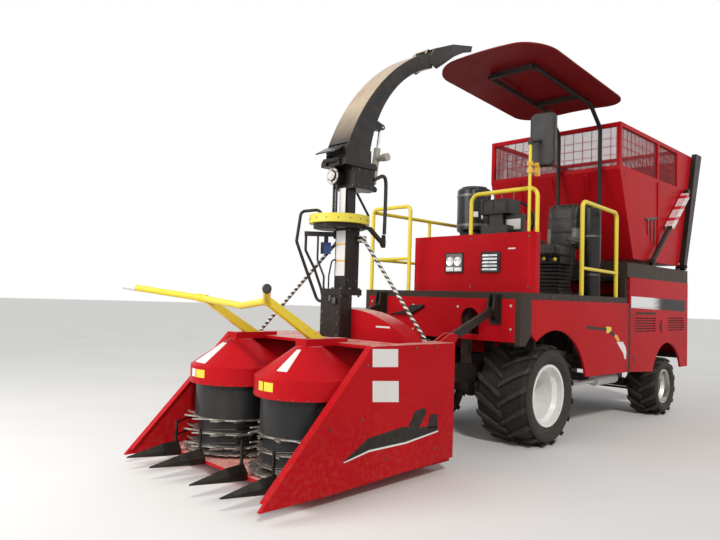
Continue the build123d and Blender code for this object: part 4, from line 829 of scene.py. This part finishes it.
# Platform
def add_cushion(form, centre, size, crown, pull, turn=None, channels=(), wings=0.0, cells=(26, 26, 8)):
    """A stuffed form: crowned top, sides that pull in between the corners, sewn channels across the top.

    size is along x, y and z before the turn. channels are (axis, place, depth, width), place from -1 to 1.
    wings lifts the top's two long edges, as the bolsters of a seat back.
    """
    centre = Vector(centre)
    half = [value / 2 for value in size]
    points = {}

    def shaped(u, v, w):
        key = (round(u, 5), round(v, 5), round(w, 5))
        if key in points:
            return points[key]
        reach = (abs(u) ** 7 + abs(v) ** 7 + abs(w) ** 7) ** (1 / 7)
        x, y, z = u / reach, v / reach, w / reach
        x *= 1 - pull * (1 - y * y)
        y *= 1 - pull * (1 - x * x)
        low = 0.55 * pull * (1 - z * z)
        x, y = x * (1 - low), y * (1 - low)
        rise = 0.0
        if w > 0:
            rise = crown * (1 - u * u) * (1 - v * v) + wings * abs(v) ** 3 * max(0.0, 1 - abs(u) ** 6)
            for axis, place, depth, width in channels:
                gap = (u if axis == "x" else v) - place
                rise -= depth * math.exp(-(gap / width) ** 2)
        point = Vector((x * half[0], y * half[1], z * half[2] + rise * max(0.0, w)))
        if turn is not None:
            point = turn @ point
        points[key] = form.point(centre + point)
        return points[key]

    nu, nv, nw = cells
    for fixed, na, nb in ((2, nu, nv), (1, nu, nw), (0, nv, nw)):
        for side in (-1, 1):
            for i in range(na):
                for j in range(nb):
                    ring = []
                    for a, b in ((i, j), (i + 1, j), (i + 1, j + 1), (i, j + 1)):
                        place = [2 * a / na - 1, 2 * b / nb - 1]
                        place.insert(fixed, side)
                        ring.append(shaped(*place))
                    form.face(ring)


def driver_seat():
    """The seat: base with bellows, cushion, back with bolsters and two arm pads."""
    y = seat_y

    def base(form):
        form.box((-1.2, y - 0.155, deck_top), (-0.89, y + 0.155, 1.56))
        for i in range(7):
            low = 1.562 + 0.044 * i
            form.box((-1.185 + 0.006 * (i % 2), y - 0.14, low), (-0.905, y + 0.14, low + 0.036))
        form.box((-1.23, y - 0.17, 1.868), (-0.865, y + 0.17, 1.962))

    seat_base = made("seat_base", base, moulding, bevel=0.008, segments=3)
    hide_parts("seat")

    seams = ("y", -0.6, 0.012, 0.05), ("y", 0.6, 0.012, 0.05), ("x", -0.1, 0.008, 0.04)
    stuffed = one(add_cushion, (-1.0, y, 2.02), (0.475, 0.405, 0.135), 0.018, 0.035, None, seams, 0.012)
    cushion = made("seat_cushion", stuffed, seat_cover, smooth=True)
    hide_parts("seat")

    lean = Matrix(((0.089, 0, 0.996), (0, 1, 0), (-0.996, 0, 0.089)))
    seams = (("y", -0.58, 0.014, 0.06), ("y", 0.58, 0.014, 0.06), ("x", 0.3, 0.009, 0.03),
             ("x", -0.3, 0.007, 0.03))
    size, cells = (0.58, 0.385, 0.098), (34, 26, 8)
    stuffed = one(add_cushion, (-1.266, y, 2.325), size, 0.012, 0.03, lean, seams, 0.03, cells)
    back = made("seat_back", stuffed, seat_cover, smooth=True)
    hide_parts("seat")

    for side, sign in (("left", 1), ("right", -1)):
        place, size = (-1.055, y + sign * 0.237, 2.15), (0.345, 0.05, 0.046)
        stuffed = one(add_cushion, place, size, 0.004, 0.02, cells=(16, 8, 8))
        pad = made(f"seat_arm_{side}", stuffed, arm_cover, smooth=True)

    def brackets(form):
        for sign in (1, -1):
            form.box((-1.225, y + sign * 0.237 - 0.012, 2.07), (-1.185, y + sign * 0.237 + 0.012, 2.135))
            form.bar((-1.205, y + sign * 0.15, 2.09), (-1.205, y + sign * 0.245, 2.09), 0.014, 12)
            form.bar((-1.16, y + sign * 0.172, 1.95), (-1.25, y + sign * 0.172, 2.12), 0.011, 10)
        form.bar((-1.21, y, 1.95), (-1.255, y, 2.1), 0.03, 12)
        form.bar((-0.9, y + 0.15, 1.72), (-0.88, 0.7, 1.72), 0.008)
        form.bar((-0.88, 0.7, 1.715), (-0.88, 0.7, 2.0), 0.008)

    def knobs(form):
        profile = [(0, 0), (0.019, 0.003), (0.023, 0.014), (0.019, 0.026), (0, 0.031)]
        for knob_y, z in ((y - 0.01, 1.925), (y + 0.125, 1.915)):
            form.bar((-0.866, knob_y, z), (-0.831, knob_y, z), 0.006)
            form.lathe((-0.836, knob_y, z), (1, 0, 0), profile, 20)

    made("seat_brackets", brackets, black)
    made("seat_knobs", knobs, yellow, smooth=True)


def console_details():
    def levers(form):
        for x, y, top in ((0.02, 0.262, 2.57), (0.09, 0.4, 2.56), (0.02, 0.5, 2.56)):
            form.bar((x, y, 2.478), (x - 0.01, y, top), 0.006)

    def knobs(form):
        profile = [(0, 0), (0.014, 0.004), (0.019, 0.018), (0.015, 0.034), (0, 0.04)]
        for y, top in ((0.262, 2.565), (0.5, 2.555)):
            form.lathe((0.01, y, top), (-0.1, 0, 1), profile, 18)

    def dials(form):
        profile = [(0, 0), (0.036, 0), (0.036, 0.008), (0.03, 0.01), (0.028, 0.004), (0, 0.004)]
        for y in (0.27, 0.36, 0.45):
            form.lathe((-0.079, y, 2.405), (-1, 0, 0.1), profile, 28)

    def seams(form):
        form.box((0.199, 0.225, 2.345), (0.206, 0.515, 2.352))
        form.box((0.199, 0.366, 2.352), (0.206, 0.374, 2.465))
        form.bolts((1, 0, 0), 0.009, (0.199, 0.235, 2.455), (0.199, 0.505, 2.455))

    profile = [(0, 0), (0.02, 0.004), (0.028, 0.024), (0.018, 0.046), (0, 0.05)]
    dark_knob = one(Form.lathe, (0.088, 0.4, 2.545), (0, 0, 1), profile, 20)
    made("console_levers", levers, dark_steel)
    made("console_knobs", knobs, orange, smooth=True)
    made("console_dark_knob", dark_knob, moulding, smooth=True)
    made("console_dials", dials, moulding)
    box = one(Form.box, (0.03, 0.45, 2.125), (0.105, 0.665, 2.325))
    made("console_box", box, moulding, bevel=0.012, segments=3)
    made("console_plate", one(Form.box, (0.105, 0.47, 2.165), (0.105 + decal, 0.64, 2.272)), white_decal)
    made("console_seams", seams, hose_rubber, bevel=0.002)
    made("deck_mat", one(Form.box, (-0.78, -0.62, deck_top), (0.24, 0.86, deck_top + 0.006)), tread)


def can_details():
    """Straps and caps of the air cleaner and the oil tank, a label on the air cleaner, and a tall white
    strip on it that is a painted reflection.
    """
    air, tank = (-0.25, -0.19), (-1.35, 0.712)

    def strap(form, can, radius, low, height, thick):
        high = low + height
        profile = [(radius, low), (radius + thick, low), (radius + thick, high), (radius, high)]
        form.lathe((*can, 0), (0, 0, 1), profile, 48)

    def straps(form):
        for low in (2.26, 2.6):
            strap(form, air, 0.19, low, 0.028, 0.004)
        for low in (1.75, 2.2):
            strap(form, tank, 0.104, low, 0.022, 0.003)
        for c, s in circle(3, 35):
            x, y = air[0] + 0.194 * c, air[1] + 0.194 * s
            form.box((x - 0.011, y - 0.011, 2.6), (x + 0.011, y + 0.011, 2.665))

    def caps(form):
        form.lathe((*air, 2.7), (0, 0, 1), [(0, 0), (0.15, 0), (0.146, 0.018), (0.05, 0.03), (0, 0.03)])
        form.lathe((*tank, 2.59), (0, 0, 1), [(0, 0), (0.05, 0), (0.05, 0.022), (0.04, 0.03), (0, 0.03)], 24)

    def label_and_reflection(form):
        # The tall thin strip is a painted reflection on the can; the short patch after it is a label.
        form.patch(air, (0.19, 2.34), (0.19, 2.55), 61, 68)
        form.patch(air, (0.19, 2.36), (0.19, 2.42), 34, 50)

    made("can_straps", straps, dark_steel)
    made("can_caps", caps, moulding)
    made("can_label_and_reflection", label_and_reflection, white_decal)


def lamp_details():
    """Bezels, reflector bowls and slats of the two lamps, and a dark strip beside the second lamp's slats
    that is a painted shadow.
    """
    face = 0.43
    first, second = 0.056, 0.503

    def backing(y):
        return one(Form.box, (face - 0.0005, y - 0.105, 1.715), (face + 0.001, y + 0.105, 1.901))

    def bezels_and_shadow(form):
        strips = ((-0.113, 1.704, 0.113, 1.712), (-0.113, 1.904, 0.113, 1.912),
                  (-0.113, 1.712, -0.105, 1.904), (0.105, 1.712, 0.113, 1.904))
        for y in (first, second):
            for left, low, right, high in strips:
                form.box((0.4195, y + left, low), (face + 0.006, y + right, high))
        # Dark strip at the +y end of the second lamp's slats: a painted shadow.
        form.box((face, second + 0.084, 1.716), (face + 0.006, second + 0.104, 1.9))

    def bowls(form):
        profile = [(0, 0), (0.047, 0), (0.047, 0.008), (0.043, 0.008), (0.016, 0.0015), (0, 0.0015)]
        for y in (first - 0.05, first + 0.05):
            form.lathe((face, y, 1.822), (1, 0, 0), profile, 28)
        form.box((face, first - 0.1, 1.72), (face + 0.005, first - 0.006, 1.762))
        form.box((face, first + 0.006, 1.72), (face + 0.005, first + 0.1, 1.758))

    def slats(form):
        for i in range(5):
            z = 1.724 + 0.035 * i
            outline = [(second - 0.096 + 0.01 * (i % 2), z), (second + 0.08, z), (second + 0.08, z + 0.021),
                       (second - 0.08, z + 0.023), (second - 0.098, z + 0.012)]
            form.prism(outline, face, face + 0.006, "yz")

    made("lamp_back_plain", backing(first), dark_steel, slot="chrome_rod")
    made("lamp_back_dark", backing(second), moulding)
    made("lamp_bezels_and_shadow", bezels_and_shadow, moulding, bevel=0.003)
    made("lamp_bowls", bowls, chrome)
    made("lamp_slats", slats, chrome, bevel=0.002)


def mirror_details():
    centre = Vector((0.215, 0.942, 3.017))
    turn = Matrix.Rotation(math.radians(11), 3, "Z")
    low, high = centre - Vector((0.0385, 0.108, 0.245)), centre + Vector((-0.03, 0.108, 0.245))
    made("mirror_face", one(Form.box, low, high, turn, centre), mirror_glass, bevel=0.003)

    def clamp(form):
        x, y = 0.39, 0.905
        for low in (2.665, 2.735):
            form.lathe((x, y, low), (0, 0, 1), [(0.012, 0), (0.03, 0), (0.03, 0.04), (0.012, 0.04)], 20)
            form.bar((0.37, y, low + 0.02), (0.265, y, low + 0.02), 0.013, 12)
        form.box((0.235, y - 0.02, 2.655), (0.268, y + 0.02, 2.785))
        form.bolt((0.42, y, 2.755), (1, 0, 0), 0.012)

    made("mirror_clamp", clamp, amber)


def front_fittings():
    forward = (1, 0, 0)
    front = [(0.66, y, z) for y in (-0.893, 0.893) for z in (1.378, 1.16)]
    front += [(0.66, y, z) for y in (-0.289, 0.289) for z in (1.354, 1.1)]
    made("front_bolts", one(Form.bolts, forward, 0.014, *front), steel)
    bulkhead = [(0.42, y, z) for y in (-0.46, 0.26, 0.93) for z in (1.56, 2.05)]
    made("bulkhead_bolts", one(Form.bolts, forward, 0.012, *bulkhead), dark_steel)
    arm = [(-0.62, 1.25), (-0.3, 1.258), (-0.14, 1.335), (-0.14, 1.362), (-0.31, 1.352), (-0.36, 1.3)]
    made("front_bracket", one(Form.prism, arm, 0.66, 0.695, "yz"), black, bevel=0.006)
    made("front_handle", one(Form.box, (0.42, 0.7, 1.93), (0.424, 0.78, 1.945)), white_decal)


# Hopper
def lattice(left, right, low, high, pitch, lean=0.8):
    """Slanting runs both ways that fill an upright rectangle: pairs of (along, up)."""
    run = (high - low) / lean
    runs = []
    start = left - run + pitch / 2
    while start < right:
        first, last = max(start, left), min(start + run, right)
        if last - first > pitch * 0.2:
            a, b = (low + (high - low) * (place - start) / run for place in (first, last))
            runs.append(((first, a), (last, b)))
            runs.append(((first, low + high - a), (last, low + high - b)))
        start += pitch
    return runs


def hopper_wires():
    thick, pitch = 0.0027, 0.026
    low, high = 3.092, 3.576
    sides, ends = 0.88, (-1.684, -3.57)

    def side_wires(form):
        for y in (-sides, sides):
            for (x0, z0), (x1, z1) in lattice(ends[1], ends[0], low, high, pitch):
                form.bar((x0, y, z0), (x1, y, z1), thick, 4)

    def end_wires(form):
        for x in ends:
            for (y0, z0), (y1, z1) in lattice(-sides, sides, low, high, pitch):
                form.bar((x, y0, z0), (x, y1, z1), thick, 4)

    made("hopper_side_wires", side_wires, wire_red, "hopper")
    made("hopper_end_wires", end_wires, wire_red, "hopper")


def wall_ribs(form, low, high, out, shares, thick, half_width, middle):
    """Three upright ribs on a leaning wall, from one share of its height to another."""
    foot, head = (low.lerp(high, share) for share in shares)
    outline = [tuple(point) for point in (foot, head, head + out * thick, foot + out * thick)]
    for y in (-middle, 0.0, middle):
        form.prism(outline, y - half_width, y + half_width)


def hopper_details():
    side = 0.904

    def ribs(form):
        low, high, out = Vector((-2.078, 1.992)), Vector((-1.66, 3.05)), Vector((0.93, -0.3675))
        wall_ribs(form, low, high, out, (0.05, 0.97), 0.012, 0.02, 0.47)
        form.box_pairs(((-2.868, side, 2.14), (-2.826, side + 0.014, 3.05)))

    def latch(form):
        outline = [(-2.44, 2.5), (-2.44, 2.535), (-2.8, 2.592), (-2.8, 2.557)]
        form.side_prisms((outline,), side, 0.009)
        form.side_bolts(side + 0.009, 0.017, (-2.47, 2.517), (-2.62, 2.541), (-2.77, 2.565))
        for x, top, bottom in ((-2.5, 2.51, 2.33), (-2.61, 2.53, 2.25), (-2.73, 2.55, 2.23)):
            for sign in (1, -1):
                form.bar((x, sign * 0.914, top), (x - 0.01, sign * 0.911, bottom), 0.007)
        rim = (-2.82, 3.0), (-3.4, 3.0), (-2.1, 3.0), (-1.8, 3.0), (-2.6, 2.15), (-3.2, 2.15)
        form.side_bolts(side, 0.012, *rim)

    def guards(form):
        across = (tilt_high - tilt_low).normalized().cross(Vector((0, 1, 0)))
        half, depth, skin = 0.044, 0.034, 0.003
        section = [(-half - skin, -depth), (-half, -depth), (-half, half), (half, half), (half, -depth),
                   (half + skin, -depth), (half + skin, half + skin), (-half - skin, half + skin)]
        for sign in (1, -1):
            aside = Vector((0, sign * tilt_y, 0))
            ends = [tilt_low.lerp(tilt_high, share) + aside for share in (0.45, 0.94)]
            rings = [[form.point(end + Vector((0, a, 0)) + across * -b) for a, b in section] for end in ends]
            form.skin(rings)
            for ring in rings:
                for face in ((0, 1, 2, 7), (7, 2, 3, 6), (6, 3, 4, 5)):
                    form.face([ring[k] for k in face])

    made("hopper_ribs", ribs, red, "hopper", bevel=0.003)
    made("hopper_latches", latch, dark_steel, "hopper")
    made("tilt_guards", guards, stripes, "tilt_rods")


def rear_details():
    face = -3.734
    backward = (-1, 0, 0)

    def gate_ribs(form):
        low, high = Vector((-3.7414, 2.1)), Vector((-4.0262, 3.0))
        wall_ribs(form, low, high, Vector((-0.953, -0.302)), (0.05, 0.92), 0.016, 0.025, 0.55)
        for share in (0.2, 0.75):
            x, z = low.lerp(high, share)
            form.bar((x, -0.8, z), (x, 0.8, z), 0.014, 10)

    def slats(form):
        for i in range(12):
            z = 0.98 + 0.042 * i
            form.prism([(face, z), (face - 0.012, z + 0.004), (face, z + 0.028)], -0.46, 0.46)

    def housings(form):
        form.box_pairs(((face - 0.02, 0.66, 1.5), (face, 0.9, 1.62)))
        form.box((face - 0.006, -0.17, 0.8), (face, 0.17, 0.93))

    def lens(low, high):
        corners = (face - 0.028, 0.67 + 0.22 * low, 1.512), (face - 0.018, 0.67 + 0.22 * high, 1.608)
        return one(Form.box_pairs, corners)

    def reflectors(form):
        for y in (0.85, -0.85):
            form.lathe((face, y, 1.4), backward, [(0, 0), (0.035, 0), (0.032, 0.007), (0, 0.009)], 28)

    corners = [(face, y, z) for y in (-0.92, -0.5, 0.5, 0.92) for z in (0.76, 1.7)]
    made("gate_ribs", gate_ribs, red, "hopper_gate", bevel=0.003)
    made("rear_louvres", slats, black)
    made("rear_lamp_housings", housings, moulding, bevel=0.006, segments=3)
    made("rear_lens_red", lens(0.0, 0.62), red_lens, bevel=0.004)
    made("rear_lens_amber", lens(0.65, 1.0), amber_lens, bevel=0.004)
    made("rear_plate", one(Form.box, (face - 0.008, -0.15, 0.815), (face - 0.006, 0.15, 0.915)), white_decal)
    made("rear_reflectors", reflectors, red_lens)
    made("rear_bolts", one(Form.bolts, backward, 0.012, *corners), dark_steel)


# Camera, floor and light
def camera():
    """The photograph's view: its place, yaw, pitch and roll were worked out from the machine's sizes."""
    place = Vector((6.2376, 4.1172, 1.4108))
    yaw, pitch, roll = math.radians(-134.8), math.radians(2.49), math.radians(1.75)
    ahead = Vector((math.cos(yaw) * math.cos(pitch), math.sin(yaw) * math.cos(pitch), math.sin(pitch)))
    level = ahead.cross(Vector((0, 0, 1))).normalized()
    upright = level.cross(ahead)
    right = math.cos(roll) * level + math.sin(roll) * upright
    up = -math.sin(roll) * level + math.cos(roll) * upright
    data = bpy.data.cameras.new("photo_view")
    data.sensor_width = 36.0
    data.lens = 32.0
    data.clip_start, data.clip_end = 0.05, 400
    view = shown("photo_view", data)
    view.matrix_world = Matrix.Translation(place) @ Matrix((right, up, -ahead)).transposed().to_4x4()
    bpy.context.scene.camera = view


def floor():
    mesh = bpy.data.meshes.new("floor")
    build = bmesh.new()
    bmesh.ops.create_circle(build, cap_ends=True, segments=96, radius=90)
    build.to_mesh(mesh)
    build.free()
    look = Shader("floor_pale", (0.8, 0.79, 0.77), 0.9)
    look.colour(look.patches(0.6, 3, 0.3, 0.7), (0.78, 0.77, 0.75), (0.82, 0.81, 0.79))
    mesh.materials.append(look.material)
    shown("floor", mesh)


def sky():
    """Pale world: one strength for what the camera, reflections and glass see, another for its light."""
    world = bpy.data.worlds.new("studio")
    world.use_nodes = True
    world.node_tree.nodes.clear()
    nodes = Nodes(world.node_tree)
    seen = nodes.add("ShaderNodeBackground", {"Color": (1, 1, 1, 1), "Strength": 1.0})[0]
    lit = nodes.add("ShaderNodeBackground", {"Color": (0.94, 0.97, 1.0, 1), "Strength": 0.46})[0]
    rays = nodes.add("ShaderNodeLightPath", {})
    either = nodes.most(rays["Is Camera Ray"], rays["Is Glossy Ray"])
    either = nodes.most(either, rays["Is Transmission Ray"])
    mixed = nodes.add("ShaderNodeMixShader", {0: either, 1: lit, 2: seen})[0]
    nodes.add("ShaderNodeOutputWorld", {"Surface": mixed})
    bpy.context.scene.world = world


def lamp(name, kind, energy, place, target, size, colour=(1, 1, 1)):
    """A sun, whose size is its angle in degrees, or a round area light."""
    data = bpy.data.lights.new(name, kind)
    data.energy = energy
    data.color = colour
    if kind == "SUN":
        data.angle = math.radians(size)
    else:
        data.shape = "DISK"
        data.size = size
    light = shown(name, data)
    light.location = place
    light.rotation_mode = "QUATERNION"
    light.rotation_quaternion = (Vector(target) - Vector(place)).to_track_quat("-Z", "Y")


wheel_details()
rear_rim_slots()
side_marks()
side_fittings()
header_marks()
hood_marks()
column_marks()
push_bar_ends()
turret_fittings()
driver_seat()
console_details()
can_details()
lamp_details()
mirror_details()
front_fittings()
hopper_wires()
hopper_details()
rear_details()
camera()
floor()
sky()
lamp("sun", "SUN", 1.5, (6, 9, 9), (0, 0, 0.5), 6, (1.0, 0.97, 0.92))
lamp("front_fill", "AREA", 420, (9, -2, 5), (1.5, 0, 1.2), 6)
bpy.context.scene.view_settings.view_transform = "Standard"
